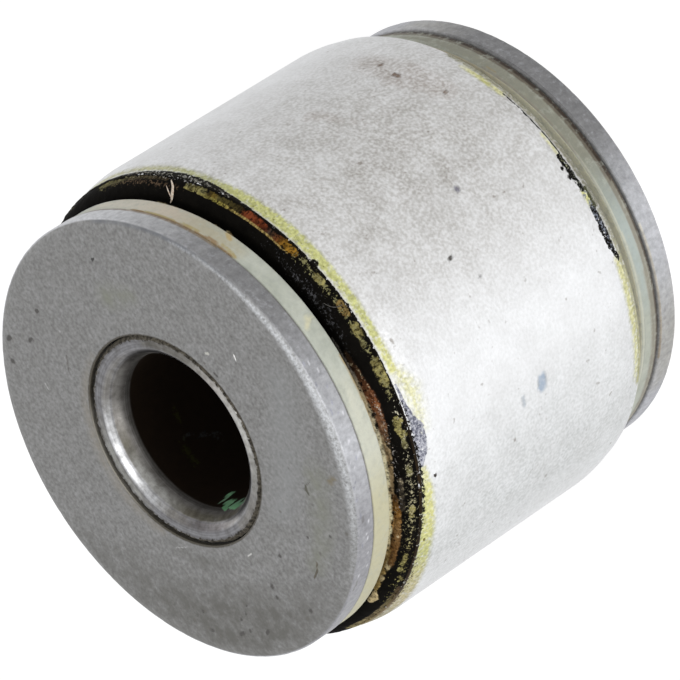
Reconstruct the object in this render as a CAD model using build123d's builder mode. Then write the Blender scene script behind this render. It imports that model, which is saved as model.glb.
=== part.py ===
from build123d import *
import os
from math import radians, tan

# Rubber metal bush for a heavy bolted joint: a steel tube for the bolt, a rubber
# spring bonded round it, and a steel sleeve that is pressed into the eye it serves.
# At each end a plastic wear disc and a stamped steel washer sit round the tube, whose
# mouth is rolled open to lead the bolt in.
# The bush stands on its rear washer: the axis is +Z, and the origin is the centre of
# that washer's outer face. All sizes are in millimetres.

# Inner sleeve: the tube that the bolt clamps
bore_diameter = 25.0
tube_wall = 3.95
tube_recess = 0.3            # each end of the tube stands this far inside the washer's face
mouth_flare = 2.2            # how much the rolled mouth grows beyond the bore, on the radius
mouth_depth = 3.55
tube_chamfer = 0.5

# Thrust washers, blanked from plate
washer_diameter = 69.6
washer_thickness = 3.8
washer_clearance = 0.25      # round the tube, on the radius
die_roll_width = 1.8         # the rim drawn down by the blanking die, on one face only
die_roll_drop = 0.6

# Wear discs, moulded in nylon
disc_thickness = 3.5
disc_inset = 0.1             # the disc's rim stands this far inside the washer's
disc_clearance = 0.35        # round the tube, on the radius
disc_chamfer = 0.4

# Outer sleeve: a tube whose two ends are swaged in for pressing home
sleeve_diameter = 75.0
sleeve_wall = 3.0
sleeve_length = 50.5
taper_angle = 12.4           # degrees from the axis, at both ends
front_taper_length = 5.9
rear_taper_length = 3.8
taper_blend_radius = 10.0
rear_end_chamfer = 0.9
front_end_chamfer = 1.6      # under the rubber, which rounds it off

# Rubber body
front_stand_off = 2.0        # how far the rubber's hub reaches beyond the sleeve's ends
rear_stand_off = 2.6
wrap_length = 1.9            # how far the rubber laps back over the sleeve's front end
wrap_thickness = 0.4
wrap_corner_radius = 2.4
groove_width = 6.6           # moulded ring groove between the hub and the sleeve
groove_depth = 5.0
groove_flank = 1.5           # how much each side of the groove leans, on the radius
lip_width = 0.6              # rubber left flush inside the sleeve's end

# Places along the axis
rear_disc_base = washer_thickness
rubber_rear = rear_disc_base + disc_thickness
sleeve_rear = rubber_rear + rear_stand_off
sleeve_front = sleeve_rear + sleeve_length
rubber_front = sleeve_front + front_stand_off
front_washer_base = rubber_front + disc_thickness
overall_length = front_washer_base + washer_thickness

tube_rear = tube_recess
tube_front = overall_length - tube_recess
rear_taper_start = sleeve_rear + rear_taper_length
front_taper_start = sleeve_front - front_taper_length
wrap_start = sleeve_front - wrap_length
wrap_front = sleeve_front + wrap_thickness
rear_groove_floor = rubber_rear + groove_depth
front_groove_floor = rubber_front - groove_depth

# Distances from the axis
bore_radius = bore_diameter / 2
mouth_radius = bore_radius + mouth_flare
tube_radius = bore_radius + tube_wall
washer_radius = washer_diameter / 2
disc_radius = washer_radius - disc_inset
sleeve_radius = sleeve_diameter / 2


def swaged_radius(height):
    """Outside radius of the swaged sleeve, and of the rubber that continues its taper."""
    past_taper_start = max(0, height - front_taper_start, rear_taper_start - height)
    return sleeve_radius - past_taper_start * tan(radians(taper_angle))


rear_lip_radius = swaged_radius(sleeve_rear) - sleeve_wall - lip_width
front_lip_radius = swaged_radius(sleeve_front) - sleeve_wall - lip_width
hub_radius = rear_lip_radius - groove_width
inside_wall_radius = swaged_radius(sleeve_front) - wrap_thickness - sleeve_wall / 2


# Sections are drawn on the XZ plane, with the radius as X and the height as Y.
INNER, OUTER = 0, -1
SAME_HEIGHT = 0.01


def corners_at(section, height):
    """The corners of a section at one height, from the axis outwards."""
    row = section.vertices().filter_by_position(Axis.Y, height - SAME_HEIGHT, height + SAME_HEIGHT)
    return row.sort_by(Axis.X)


# The bore runs into a rolled mouth at each end.
with BuildPart() as inner_sleeve:
    with BuildSketch(Plane.XZ) as tube_section:
        with BuildLine():
            rear_mouth = TangentArc(
                (bore_radius, tube_rear + mouth_depth), (mouth_radius, tube_rear), tangent=(0, -1)
            )
            front_mouth = TangentArc(
                (bore_radius, tube_front - mouth_depth), (mouth_radius, tube_front), tangent=(0, 1)
            )
            Line(rear_mouth @ 0, front_mouth @ 0)
            Polyline(rear_mouth @ 1, (tube_radius, tube_rear), (tube_radius, tube_front), front_mouth @ 1)
        make_face()
        chamfer(tube_section.vertices().group_by(Axis.X)[OUTER], tube_chamfer)
    revolve(axis=Axis.Z)

# The sleeve's wall keeps its thickness through both tapers. Its front end is turned
# down by the thickness of the rubber that wraps over it.
with BuildPart() as outer_sleeve:
    with BuildSketch(Plane.XZ) as wall_section:
        with BuildLine():
            Polyline(
                (swaged_radius(sleeve_rear) - sleeve_wall, sleeve_rear),
                (swaged_radius(sleeve_rear), sleeve_rear),
                (sleeve_radius, rear_taper_start),
                (sleeve_radius, front_taper_start),
                (swaged_radius(wrap_start), wrap_start),
                (swaged_radius(wrap_start) - wrap_thickness, wrap_start),
                (swaged_radius(sleeve_front) - wrap_thickness, sleeve_front),
                (swaged_radius(sleeve_front) - sleeve_wall, sleeve_front),
                (sleeve_radius - sleeve_wall, front_taper_start),
                (sleeve_radius - sleeve_wall, rear_taper_start),
                close=True,
            )
        make_face()
        # Each of these renews the outline, so every corner is looked up afresh.
        chamfer(corners_at(wall_section, sleeve_rear)[OUTER], rear_end_chamfer)
        chamfer(corners_at(wall_section, sleeve_front)[OUTER], front_end_chamfer)
        fillet(corners_at(wall_section, rear_taper_start)[OUTER], taper_blend_radius)
        fillet(corners_at(wall_section, front_taper_start)[OUTER], taper_blend_radius)
    revolve(axis=Axis.Z)

# Each end of the rubber has a hub round the tube that carries the wear disc, a ring
# groove, and a lip that fills the sleeve's end. At the front the lip wraps over the
# sleeve, flush with its taper. The outline is drawn through the middle of the sleeve's
# wall, and the sleeve is then taken out of it, so that the bonded faces are one surface.
with BuildPart() as rubber_body:
    with BuildSketch(Plane.XZ) as spring_section:
        with BuildLine():
            Polyline(
                (tube_radius, rubber_rear),
                (hub_radius, rubber_rear),
                (hub_radius + groove_flank, rear_groove_floor),
                (rear_lip_radius - groove_flank, rear_groove_floor),
                (rear_lip_radius, sleeve_rear),
                (inside_wall_radius, sleeve_rear),
                (inside_wall_radius, wrap_start),
                (swaged_radius(wrap_start), wrap_start),
                (swaged_radius(wrap_front), wrap_front),
                (front_lip_radius, wrap_front),
                (front_lip_radius - groove_flank, front_groove_floor),
                (hub_radius + groove_flank, front_groove_floor),
                (hub_radius, rubber_front),
                (tube_radius, rubber_front),
                close=True,
            )
        make_face()
        fillet(corners_at(spring_section, wrap_front)[OUTER], wrap_corner_radius)
    revolve(axis=Axis.Z)
    add(outer_sleeve.part, mode=Mode.SUBTRACT)

# Wear discs: flat rings whose rim edges are broken by the mould.
with BuildPart() as rear_wear_disc:
    with BuildSketch(Plane.XY.offset(rear_disc_base)):
        Circle(disc_radius)
        Circle(tube_radius + disc_clearance, mode=Mode.SUBTRACT)
    extrude(amount=disc_thickness)
    rims = rear_wear_disc.edges().filter_by(GeomType.CIRCLE).group_by(SortBy.RADIUS)[OUTER]
    chamfer(rims, disc_chamfer)

with BuildPart() as front_wear_disc:
    with BuildSketch(Plane.XY.offset(rubber_front)):
        Circle(disc_radius)
        Circle(tube_radius + disc_clearance, mode=Mode.SUBTRACT)
    extrude(amount=disc_thickness)
    rims = front_wear_disc.edges().filter_by(GeomType.CIRCLE).group_by(SortBy.RADIUS)[OUTER]
    chamfer(rims, disc_chamfer)


def washer_outline(rolled_face, sheared_face):
    """Close the section of a blanked washer: one face rolls down at the rim."""
    hole_radius = tube_radius + washer_clearance
    into_plate = 1 if sheared_face > rolled_face else -1
    roll_start = (washer_radius - die_roll_width, rolled_face)
    roll_end = (washer_radius, rolled_face + into_plate * die_roll_drop)
    TangentArc(roll_start, roll_end, tangent=(1, 0))
    Polyline(
        roll_end,
        (washer_radius, sheared_face),
        (hole_radius, sheared_face),
        (hole_radius, rolled_face),
        roll_start,
    )


# The front washer shows its rolled face, and the rear washer shows its sheared one.
with BuildPart() as front_thrust_washer:
    with BuildSketch(Plane.XZ):
        with BuildLine():
            washer_outline(rolled_face=overall_length, sheared_face=front_washer_base)
        make_face()
    revolve(axis=Axis.Z)

with BuildPart() as rear_thrust_washer:
    with BuildSketch(Plane.XZ):
        with BuildLine():
            washer_outline(rolled_face=washer_thickness, sheared_face=0)
        make_face()
    revolve(axis=Axis.Z)

inner_sleeve.part.label = "inner_sleeve"
outer_sleeve.part.label = "outer_sleeve"
rubber_body.part.label = "rubber_body"
front_wear_disc.part.label = "front_wear_disc"
rear_wear_disc.part.label = "rear_wear_disc"
front_thrust_washer.part.label = "front_thrust_washer"
rear_thrust_washer.part.label = "rear_thrust_washer"

os.makedirs("parts", exist_ok=True)
export_step(inner_sleeve.part, "parts/inner_sleeve.step")
export_step(outer_sleeve.part, "parts/outer_sleeve.step")
export_step(rubber_body.part, "parts/rubber_body.step")
export_step(front_wear_disc.part, "parts/front_wear_disc.step")
export_step(rear_wear_disc.part, "parts/rear_wear_disc.step")
export_step(front_thrust_washer.part, "parts/front_thrust_washer.step")
export_step(rear_thrust_washer.part, "parts/rear_thrust_washer.step")

print(f"overall length {overall_length:.2f} mm, tube {tube_radius * 2:.2f} x {bore_diameter:.2f} mm")
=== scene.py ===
# %% [markdown]
# # A rubber metal bush, dressed
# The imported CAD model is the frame: a bush that stands on its rear washer, with its axis along +Z.
# Its seven parts are rings, so each one is turned again here from its section, finely enough to
# carry wear. Each piece stays where its CAD node is, and replaces it.

import math
import random
from functools import partial

import bmesh
import bpy
import numpy as np
from mathutils import Matrix, Quaternion, Vector, noise


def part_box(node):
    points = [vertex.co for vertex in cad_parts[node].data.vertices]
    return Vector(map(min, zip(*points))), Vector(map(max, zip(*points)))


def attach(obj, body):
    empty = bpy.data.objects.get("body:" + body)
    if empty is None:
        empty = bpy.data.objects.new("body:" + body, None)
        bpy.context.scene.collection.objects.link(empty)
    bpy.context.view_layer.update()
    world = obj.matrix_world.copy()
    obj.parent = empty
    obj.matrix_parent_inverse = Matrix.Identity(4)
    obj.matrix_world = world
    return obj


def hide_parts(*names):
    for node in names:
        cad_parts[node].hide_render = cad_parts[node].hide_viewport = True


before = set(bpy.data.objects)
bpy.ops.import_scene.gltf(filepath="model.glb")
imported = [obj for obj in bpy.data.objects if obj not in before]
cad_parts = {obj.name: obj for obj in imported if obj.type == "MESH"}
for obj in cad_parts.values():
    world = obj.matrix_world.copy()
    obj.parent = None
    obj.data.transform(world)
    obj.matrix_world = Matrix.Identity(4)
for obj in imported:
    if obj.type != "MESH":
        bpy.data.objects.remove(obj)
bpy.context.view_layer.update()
MM = 0.001

# %% [markdown]
# ## Colours and nodes
# Colours are written as they look on a screen, in sRGB hex. Shaders add light, which needs linear
# values, so one function turns one into the other. A second small function adds a shader node, sets
# it and joins it, so that each material below reads as a list of what it is made of. Two more hold
# what comes up again and again: noise of a real size in a chosen range, and a fold of several values.


# %% Colour and node helpers
def linear(hex_colour, alpha=1.0):
    """A colour as linear light, from its sRGB hex."""
    parts = [int(hex_colour[i : i + 2], 16) / 255 for i in (1, 3, 5)]
    return (*[p / 12.92 if p <= 0.04045 else ((p + 0.055) / 1.055) ** 2.4 for p in parts], alpha)


MIX_A, MIX_B, MIX_OUT = 6, 7, 2  # the colour sockets of a Mix node
BLEND = {"data_type": "RGBA"}
MULTIPLY = {"data_type": "RGBA", "blend_type": "MULTIPLY"}


def add_node(tree, kind, settings=None, links=None, out=0):
    """Add a node, set its options and inputs, join its links, and return one of its outputs."""
    made = tree.nodes.new("ShaderNode" + kind)
    for name, value in (settings or {}).items():
        if isinstance(name, str) and name.islower():
            setattr(made, name, value)
        else:
            made.inputs[name].default_value = value
    for name, output in (links or {}).items():
        tree.links.new(output, made.inputs[name])
    return made.outputs[out] if made.outputs else made


def start_material(name):
    """An empty material, a function that adds nodes to it, and the place on the piece in metres."""
    material = bpy.data.materials.new(name)
    material.use_nodes = True
    material.node_tree.nodes.clear()
    add = partial(add_node, material.node_tree)
    return material, add, add("TexCoord", out=3)


def noisy(add, place, size_mm, detail=2.0, roughness=0.5, low=0.0, high=1.0, to_low=0.0, to_high=1.0):
    """Noise with cells of that size, and the same stretched so that low and high reach a new range."""
    settings = {"Scale": 1 / (size_mm * MM), "Detail": detail, "Roughness": roughness}
    cells = add("TexNoise", settings, {"Vector": place})
    limits = {"From Min": low, "From Max": high, "To Min": to_low, "To Max": to_high}
    return cells, add("MapRange", limits, {"Value": cells})


def combine(add, operation, first, *others):
    """Fold several values into one, by MAXIMUM or MULTIPLY."""
    for other in others:
        first = add("Math", {"operation": operation}, {0: first, 1: other})
    return first


# %% [markdown]
# ## The camera
# A long lens from well back keeps the two ends nearly the same size. It looks at the front end from
# 37 degrees above the front face's plane, and it is rolled, so that the standing bush seems to lie.

# %% Camera
TARGET = Vector((-0.00070, 0.0, 0.03500))
AZIMUTH, ELEVATION, ROLL = -88.02, 37.154, -122.91
DISTANCE = 0.9203


def direction(azimuth, elevation):
    """The unit vector towards an azimuth from +X and an elevation, in degrees."""
    a, e = math.radians(azimuth), math.radians(elevation)
    return Vector((math.cos(a) * math.cos(e), math.sin(a) * math.cos(e), math.sin(e)))


towards_camera = direction(AZIMUTH, ELEVATION)
camera = bpy.data.objects.new("camera", bpy.data.cameras.new("camera"))
camera.data.sensor_width = 36.0
camera.data.lens = 334.75
camera.location = TARGET + towards_camera * DISTANCE
camera.rotation_mode = "QUATERNION"
level = (-towards_camera).to_track_quat("-Z", "Y")
camera.rotation_quaternion = level @ Quaternion((0, 0, 1), math.radians(ROLL))
bpy.context.scene.collection.objects.link(camera)
bpy.context.scene.camera = camera
print("camera at", [round(x, 4) for x in camera.location])

# %% [markdown]
# ## Light
# Three soft boxes and a pale room. The world is white where the camera, a reflection or a
# transmission looks at it, and less to diffuse rays, so that colours render about as written.

# %% World and lamps
ROOM_LIGHT = 0.64


def see_white(add, weak):
    """A strength that is 1 for camera, glossy and transmission rays, and weak for the rest."""
    camera_ray, glossy_ray, passing_ray = (
        add("LightPath", out=name) for name in ("Is Camera Ray", "Is Glossy Ray", "Is Transmission Ray")
    )
    seen = combine(add, "MAXIMUM", camera_ray, glossy_ray, passing_ray)
    return add("MapRange", {"To Min": weak}, {"Value": seen})


world = bpy.data.worlds.new("pale_room")
bpy.context.scene.world = world
world.use_nodes = True
world.node_tree.nodes.clear()
add = partial(add_node, world.node_tree)
glow = add("Background", {"Color": linear("#ffffff")}, {"Strength": see_white(add, ROOM_LIGHT)})
add("OutputWorld", links={"Surface": glow})


def softbox(name, azimuth, elevation, distance, width, height, radiance):
    """A rectangular lamp that faces the bush, set by how bright its face is."""
    lamp = bpy.data.lights.new(name, "AREA")
    lamp.shape = "RECTANGLE"
    lamp.size, lamp.size_y = width, height
    lamp.energy = radiance * math.pi * width * height
    made = bpy.data.objects.new(name, lamp)
    out = direction(azimuth, elevation)
    made.location = TARGET + out * distance
    made.rotation_mode = "QUATERNION"
    made.rotation_quaternion = out.to_track_quat("Z", "Y")
    bpy.context.scene.collection.objects.link(made)
    print(name, "gives", round(lamp.energy, 2), "W")


softbox("side_softbox", -116, 10, 0.7, 0.36, 0.30, 5.8)
softbox("top_softbox", -97, 65, 0.8, 0.40, 0.36, 4.2)
softbox("back_softbox", 48, 10, 0.9, 0.50, 0.50, 1.1)

# %% [markdown]
# ## Floor
# The floor is white studio paper. Most of what it shows is its own glow and the rest is lit, so it
# stays white and still takes a faint shadow from the bush.

# %% Floor
FLOOR_REACH = 3.0
FIBRE_CLUMPS = 900  # in a metre of paper
FLOOR_GAP = 0.02 * MM  # keeps the paper clear of the washer's face, which would flicker against it
paper, add, here = start_material("white_studio_paper")
fibre = add("TexNoise", {"Scale": FIBRE_CLUMPS}, {"Vector": here})
tone = add("Mix", {**BLEND, MIX_A: linear("#787878"), MIX_B: linear("#7c7c7c")}, {0: fibre}, MIX_OUT)
lit = add("BsdfDiffuse", {}, {"Color": tone})
glow = add("Emission", {"Color": linear("#f4f4f4")}, {"Strength": see_white(add, ROOM_LIGHT)})
both = add("AddShader", {}, {0: glow, 1: lit})
add("OutputMaterial", links={"Surface": both})

bm = bmesh.new()
bmesh.ops.create_grid(
    bm, x_segments=1, y_segments=1, size=FLOOR_REACH, matrix=Matrix.Translation((0, 0, -FLOOR_GAP))
)
floor_mesh = bpy.data.meshes.new("floor")
bm.to_mesh(floor_mesh)
bm.free()
floor = bpy.data.objects.new("floor", floor_mesh)
floor.data.materials.append(paper)
bpy.context.scene.collection.objects.link(floor)

# %% [markdown]
# ## Turning a ring
# Every part of the bush is round, and the real ones are turned, rolled, blanked or moulded round an
# axis. So a piece starts as its section: a closed line in the XZ plane. Corners are bevelled there,
# where that takes a few vertices, and long runs are divided. A spin makes one eighth of the ring,
# because a spin slows down as it grows, and three doublings with merged seams close it.
# Each section vertex keeps its distance along the outline, which the spin copies round the ring.

# %% Turning helpers
TURN_STEPS = 720
WEDGES = 8  # doublings start from one eighth of a turn
WHOLE_TURN = math.tau * 0.99
CORNER_MERGE, SEAM_MERGE = 0.0005, 0.002 * MM  # while drawing in mm, and once in metres
ROUND_SEGMENTS = 8
CRISP_ANGLE = math.radians(35)


def tangent_length(before, corner, after, radius):
    """How far from its corner a round of that radius starts, from the angle between the two runs."""
    into = (Vector(corner) - Vector(before)).normalized()
    onward = (Vector(after) - Vector(corner)).normalized()
    return radius * math.tan(into.angle(onward) / 2)


def bevel_corner(bm, corners, i):
    """Round or chamfer one corner of a drawn section."""
    place = Vector((corners[i][0], 0, corners[i][1]))
    kind, size = corners[i][2:]
    if kind == "round":
        before, after = corners[i - 1][:2], corners[(i + 1) % len(corners)][:2]
        size = tangent_length(before, corners[i][:2], after, size)
    bmesh.ops.bevel(
        bm,
        geom=[min(bm.verts, key=lambda v: (v.co - place).length)],
        offset=size,
        offset_type="OFFSET",
        affect="VERTICES",
        segments=ROUND_SEGMENTS if kind == "round" else 1,
        profile=0.5,
        material=-1,
        clamp_overlap=False,
    )


def draw_section(bm, corners, row_length):
    """Draw corners (radius, height, kind, size) in mm as a closed line. Gives its vertices in order."""
    made = [bm.verts.new((corner[0], 0, corner[1])) for corner in corners]
    for a, b in zip(made, made[1:] + made[:1]):
        bm.edges.new((a, b))
    start, towards_second = made[0].co.copy(), (made[1].co - made[0].co).normalized()
    for i, corner in enumerate(corners):
        if len(corner) > 2:
            bevel_corner(bm, corners, i)
    bmesh.ops.remove_doubles(bm, verts=bm.verts, dist=CORNER_MERGE)
    for edge in list(bm.edges):
        middle = (edge.verts[0].co + edge.verts[1].co) / 2
        cuts = math.ceil(edge.calc_length() / row_length(middle.x, middle.z)) - 1
        if cuts > 0:
            bmesh.ops.subdivide_edges(bm, edges=[edge], cuts=cuts)
    first = min(bm.verts, key=lambda v: (v.co - start).length)
    ways = [edge.other_vert(first) for edge in first.link_edges]
    path = [first, max(ways, key=lambda v: (v.co - start).normalized() @ towards_second)]
    while path[-1] is not first:
        ways = [edge.other_vert(path[-1]) for edge in path[-1].link_edges]
        path.append(ways[0] if ways[1] is path[-2] else ways[1])
    return path[:-1]


def turn_ring(name, corners, row_length, steps=TURN_STEPS):
    """Spin a section, in rows as long as row_length(radius, height) says, into a closed ring."""
    bm = bmesh.new()
    along = bm.verts.layers.float.new("along")
    distance, before = 0.0, None
    for vert in draw_section(bm, corners, row_length):
        distance += (vert.co - before).length if before else 0.0
        vert[along] = distance
        before = vert.co.copy()
    bmesh.ops.scale(bm, vec=(MM, MM, MM), verts=bm.verts)
    bmesh.ops.spin(
        bm,
        geom=bm.verts[:] + bm.edges[:],
        cent=(0, 0, 0),
        axis=(0, 0, 1),
        dvec=(0, 0, 0),
        angle=math.tau / WEDGES,
        space=Matrix.Identity(4),
        steps=steps // WEDGES,
        use_merge=False,
        use_normal_flip=False,
        use_duplicate=False,
    )
    turn = math.tau / WEDGES
    while turn < WHOLE_TURN:
        copied = bmesh.ops.duplicate(bm, geom=bm.verts[:] + bm.edges[:] + bm.faces[:])["geom"]
        verts = [part for part in copied if isinstance(part, bmesh.types.BMVert)]
        bmesh.ops.rotate(bm, cent=(0, 0, 0), matrix=Matrix.Rotation(turn, 3, "Z"), verts=verts)
        turn *= 2
    bmesh.ops.remove_doubles(bm, verts=bm.verts, dist=SEAM_MERGE)
    bmesh.ops.recalc_face_normals(bm, faces=bm.faces)
    open_edges = sum(len(e.link_faces) != 2 for e in bm.edges)
    mesh = bpy.data.meshes.new(name)
    bm.to_mesh(mesh)
    volume = bm.calc_volume(signed=True) / MM**3
    bm.free()
    print(f"{name}: {2 * len(mesh.polygons)} triangles, {open_edges} open edges, {volume:.0f} mm3")
    return bpy.data.objects.new(name, mesh)


def finish_piece(piece, material, slot, *nodes):
    """Shade a piece smooth but for its crisp edges, give it its finish, and hang it on the frame."""
    piece.data.polygons.foreach_set("use_smooth", [True] * len(piece.data.polygons))
    piece.data.set_sharp_from_angle(angle=CRISP_ANGLE)
    piece.data.materials.append(material)
    bpy.context.scene.collection.objects.link(piece)
    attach(piece, "root")
    if nodes:
        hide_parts(*nodes)


# %% [markdown]
# ## Placing wear
# Stains, chips and smears lie at known places, each given as keys round the ring. A key is an angle
# in degrees, a place and a half width in mm, a strength and a colour. One key makes a spot, and more
# make a streak that follows them. A mesh attribute holds all marks of a kind: its colour is the
# mark's, and its alpha fades from 1 inside a mark to 0 outside. The shader then tears that soft edge
# with noise, so that it looks chipped, or uses it as the density of specks.


# %% Wear helpers
DUST_LIFT, SPECK_START, SPECK_FULL = 0.34, 0.73, 0.80  # noise above the start shows as specks
FADE_END = 1.5  # a mark of strength 1 is whole to half its half width, and gone at one and a half of them


def measure(piece):
    """Angle in degrees, radius and height in mm, and the outline distance, of each vertex."""
    count = len(piece.data.vertices)
    places, along = np.empty(count * 3), np.empty(count)
    piece.data.vertices.foreach_get("co", places)
    piece.data.attributes["along"].data.foreach_get("value", along)
    x, y, z = places.reshape(-1, 3).T / MM
    return np.degrees(np.arctan2(y, x)), np.hypot(x, y), z, along


def keys(angles, *tracks):
    """The keys of a mark, from its angles and then its places, half widths, strengths and colours.

    A single value in place of a row of them holds all along the mark.
    """
    columns = [track if isinstance(track, tuple) else (track,) * len(angles) for track in tracks]
    return list(zip(angles, *columns))


def lay_marks(piece, name, angle, radius, place, marks, where=True):
    """Store marks, each a list of keys (angle, place, half width, strength, hex) by rising angle."""
    cover, colour = np.zeros(len(angle)), np.zeros((len(angle), 4))
    for mark in marks:
        at, *tracks = np.array([(*key[:4], *linear(key[4])[:3]) for key in mark]).T
        centre = (at[0] + at[-1]) / 2
        turn = (angle - centre + 180) % 360 - 180 + centre
        middle, half, strength, *shades = (np.interp(turn, at, track) for track in tracks)
        beyond = np.maximum(np.maximum(at[0] - turn, turn - at[-1]), 0) * np.radians(radius)
        close = np.clip(strength * (FADE_END - np.hypot(beyond, place - middle) / half), 0, 1)
        over = close > cover
        cover[over] = close[over]
        colour[over, :3] = np.stack(shades, axis=1)[over]
    colour[:, 3] = cover * where
    stored = piece.data.attributes.new(name, "FLOAT_COLOR", "POINT")
    stored.data.foreach_set("color", colour.ravel())
    return colour[:, 3]


def raise_surface(piece, lift):
    """Move each vertex along its normal by that many mm."""
    count = len(piece.data.vertices)
    places, normals = np.empty(count * 3), np.empty(count * 3)
    piece.data.vertices.foreach_get("co", places)
    piece.data.vertex_normals.foreach_get("vector", normals)
    moved = places.reshape(-1, 3) + normals.reshape(-1, 3) * (np.asarray(lift) * MM)[:, None]
    piece.data.vertices.foreach_set("co", moved.ravel())
    piece.data.update()


def lumps(piece, size_mm, chosen, seed):
    """Smooth noise from -1 to 1 at the chosen vertices, and 0 at the rest."""
    values = np.zeros(len(chosen))
    shift = Vector((seed, 2 * seed, 3 * seed))
    for i in np.flatnonzero(chosen):
        values[i] = noise.noise(piece.data.vertices[i].co / (size_mm * MM) + shift)
    return values


def read_marks(add, name):
    """The colour and the cover that lay_marks stored under that name."""
    attribute = {"attribute_name": name}
    return add("Attribute", attribute), add("Attribute", attribute, out=3)


def cover_with_marks(add, below, name, here, torn_mm, tear, soft=0.05):
    """Lay a mesh's marks over a colour with torn edges. Gives the colour and where it is covered."""
    marks, alpha = read_marks(add, name)
    torn = add("TexNoise", {"Scale": 1 / (torn_mm * MM), "Detail": 4.0, "Roughness": 0.7}, {"Vector": here})
    shifted = add("Math", {"operation": "MULTIPLY_ADD", 1: 2 * tear, 2: 1 - tear}, {0: torn})
    edge = add("Math", {"operation": "MULTIPLY"}, {0: shifted, 1: alpha})
    cover = add("MapRange", {"From Min": 0.5 - soft, "From Max": 0.5 + soft}, {"Value": edge})
    return add("Mix", BLEND, {0: cover, MIX_A: below, MIX_B: marks}, MIX_OUT), cover


def sprinkle(add, below, name, here, size_mm):
    """Scatter specks over a colour, more where a mesh's marks are stronger."""
    marks, alpha = read_marks(add, name)
    dust = add("TexNoise", {"Scale": 1 / (size_mm * MM), "Detail": 3.0, "Roughness": 0.75}, {"Vector": here})
    lifted = add("Math", {"operation": "MULTIPLY_ADD", 1: DUST_LIFT}, {0: alpha, 2: dust})
    specks = add("MapRange", {"From Min": SPECK_START, "From Max": SPECK_FULL}, {"Value": lifted})
    return add("Mix", BLEND, {0: specks, MIX_A: below, MIX_B: marks}, MIX_OUT), specks


# %% [markdown]
# ## Sizes
# These repeat the driving sizes of the CAD source, in millimetres. The boxes of the CAD nodes give
# the rest, so that a turned piece fills the same space as its node.

# %% Sizes
SLEEVE_WALL = 3.0
TAPER_ANGLE = math.radians(12.4)
FRONT_TAPER, REAR_TAPER = 5.9, 3.8
TAPER_BLEND = 10.0
REAR_END_CHAMFER, FRONT_END_CHAMFER = 0.9, 1.6
WRAP_LENGTH, WRAP_THICKNESS, WRAP_CORNER = 1.9, 0.4, 2.4
GROOVE_WIDTH, GROOVE_DEPTH, GROOVE_FLANK, GROOVE_ROUND, LIP_WIDTH = 6.6, 5.0, 1.5, 0.8, 0.6
DIE_ROLL_WIDTH, DIE_ROLL_DROP = 1.8, 0.6
DIE_ROLL_RADIUS = (DIE_ROLL_WIDTH**2 + DIE_ROLL_DROP**2) / (2 * DIE_ROLL_DROP)
BORE_RADIUS, MOUTH_RADIUS, MOUTH_DEPTH = 12.5, 14.7, 3.55
MOUTH_ROUND, MOUTH_TANGENT = 3.964, 2.456
TUBE_CHAMFER = 0.5
WASHER_HOLE, DISC_HOLE = 16.70, 16.80
DISC_CHAMFER = 0.4


def span(node):
    """Outer radius, lowest and highest height of a CAD node, in mm."""
    low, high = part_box(node)
    return high.x / MM, low.z / MM, high.z / MM


sleeve_radius, sleeve_rear, sleeve_front = span("outer_sleeve")
rubber_rear, rubber_front = span("rubber_body")[1:]
washer_radius, washer_back, washer_face = span("front_thrust_washer")
disc_radius, disc_back, disc_face = span("front_wear_disc")
tube_radius, tube_rear, tube_front = span("inner_sleeve")
wrap_start, wrap_front = sleeve_front - WRAP_LENGTH, sleeve_front + WRAP_THICKNESS
rear_taper_start, front_taper_start = sleeve_rear + REAR_TAPER, sleeve_front - FRONT_TAPER


def swaged_radius(height):
    """Outside radius of the swaged sleeve, and of the rubber that continues its taper."""
    past = max(0, height - front_taper_start, rear_taper_start - height)
    return sleeve_radius - past * math.tan(TAPER_ANGLE)


print(f"sleeve {sleeve_radius:.2f} mm, from {sleeve_rear:.2f} to {sleeve_front:.2f} mm")

# %% [markdown]
# ## Outer sleeve
# A steel tube, zinc coated to a dull granular silver, with both ends swaged in. Its corners were
# never machined after that, so the tapers blend in with a large round. At the front the wall is
# turned down where the rubber wraps over it. Rubber that crept out of the mould left black flash on
# both ends, and the bonding agent left a yellow-green edge next to it. Turning the section again
# puts fine rows where that wear is, and the marks are keyed by angle and height.

# %% Turn the sleeve
nose_rear, nose_front = swaged_radius(wrap_start), swaged_radius(sleeve_front)
sleeve_corners = [
    (swaged_radius(sleeve_rear) - SLEEVE_WALL, sleeve_rear),
    (swaged_radius(sleeve_rear), sleeve_rear, "round", REAR_END_CHAMFER),
    (sleeve_radius, rear_taper_start, "round", TAPER_BLEND),
    (sleeve_radius, front_taper_start, "round", TAPER_BLEND),
    (nose_rear, wrap_start),
    (nose_rear - WRAP_THICKNESS, wrap_start),
    (nose_front - WRAP_THICKNESS, sleeve_front, "chamfer", FRONT_END_CHAMFER),
    (nose_front - SLEEVE_WALL, sleeve_front),
    (sleeve_radius - SLEEVE_WALL, front_taper_start),
    (sleeve_radius - SLEEVE_WALL, rear_taper_start),
]
WORN_REAR, WORN_FRONT = 14.5, 53.5  # the ends' wear lies beyond these heights


def sleeve_rows(radius, height):
    """The finest rows next to the wrap, fine ones at both ends, and coarse ones where none shows."""
    if radius < sleeve_radius - 2.5 or height > wrap_start:
        return 8.0
    if height > wrap_start - 2.4:
        return 0.16
    return 0.95 if WORN_REAR <= height <= WORN_FRONT else 0.24


sleeve = turn_ring("outer_sleeve_turned", sleeve_corners, sleeve_rows)
angle, radius, height, along = measure(sleeve)
outside = (radius > sleeve_radius - 2.0) & (height < wrap_start + 0.01)

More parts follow.
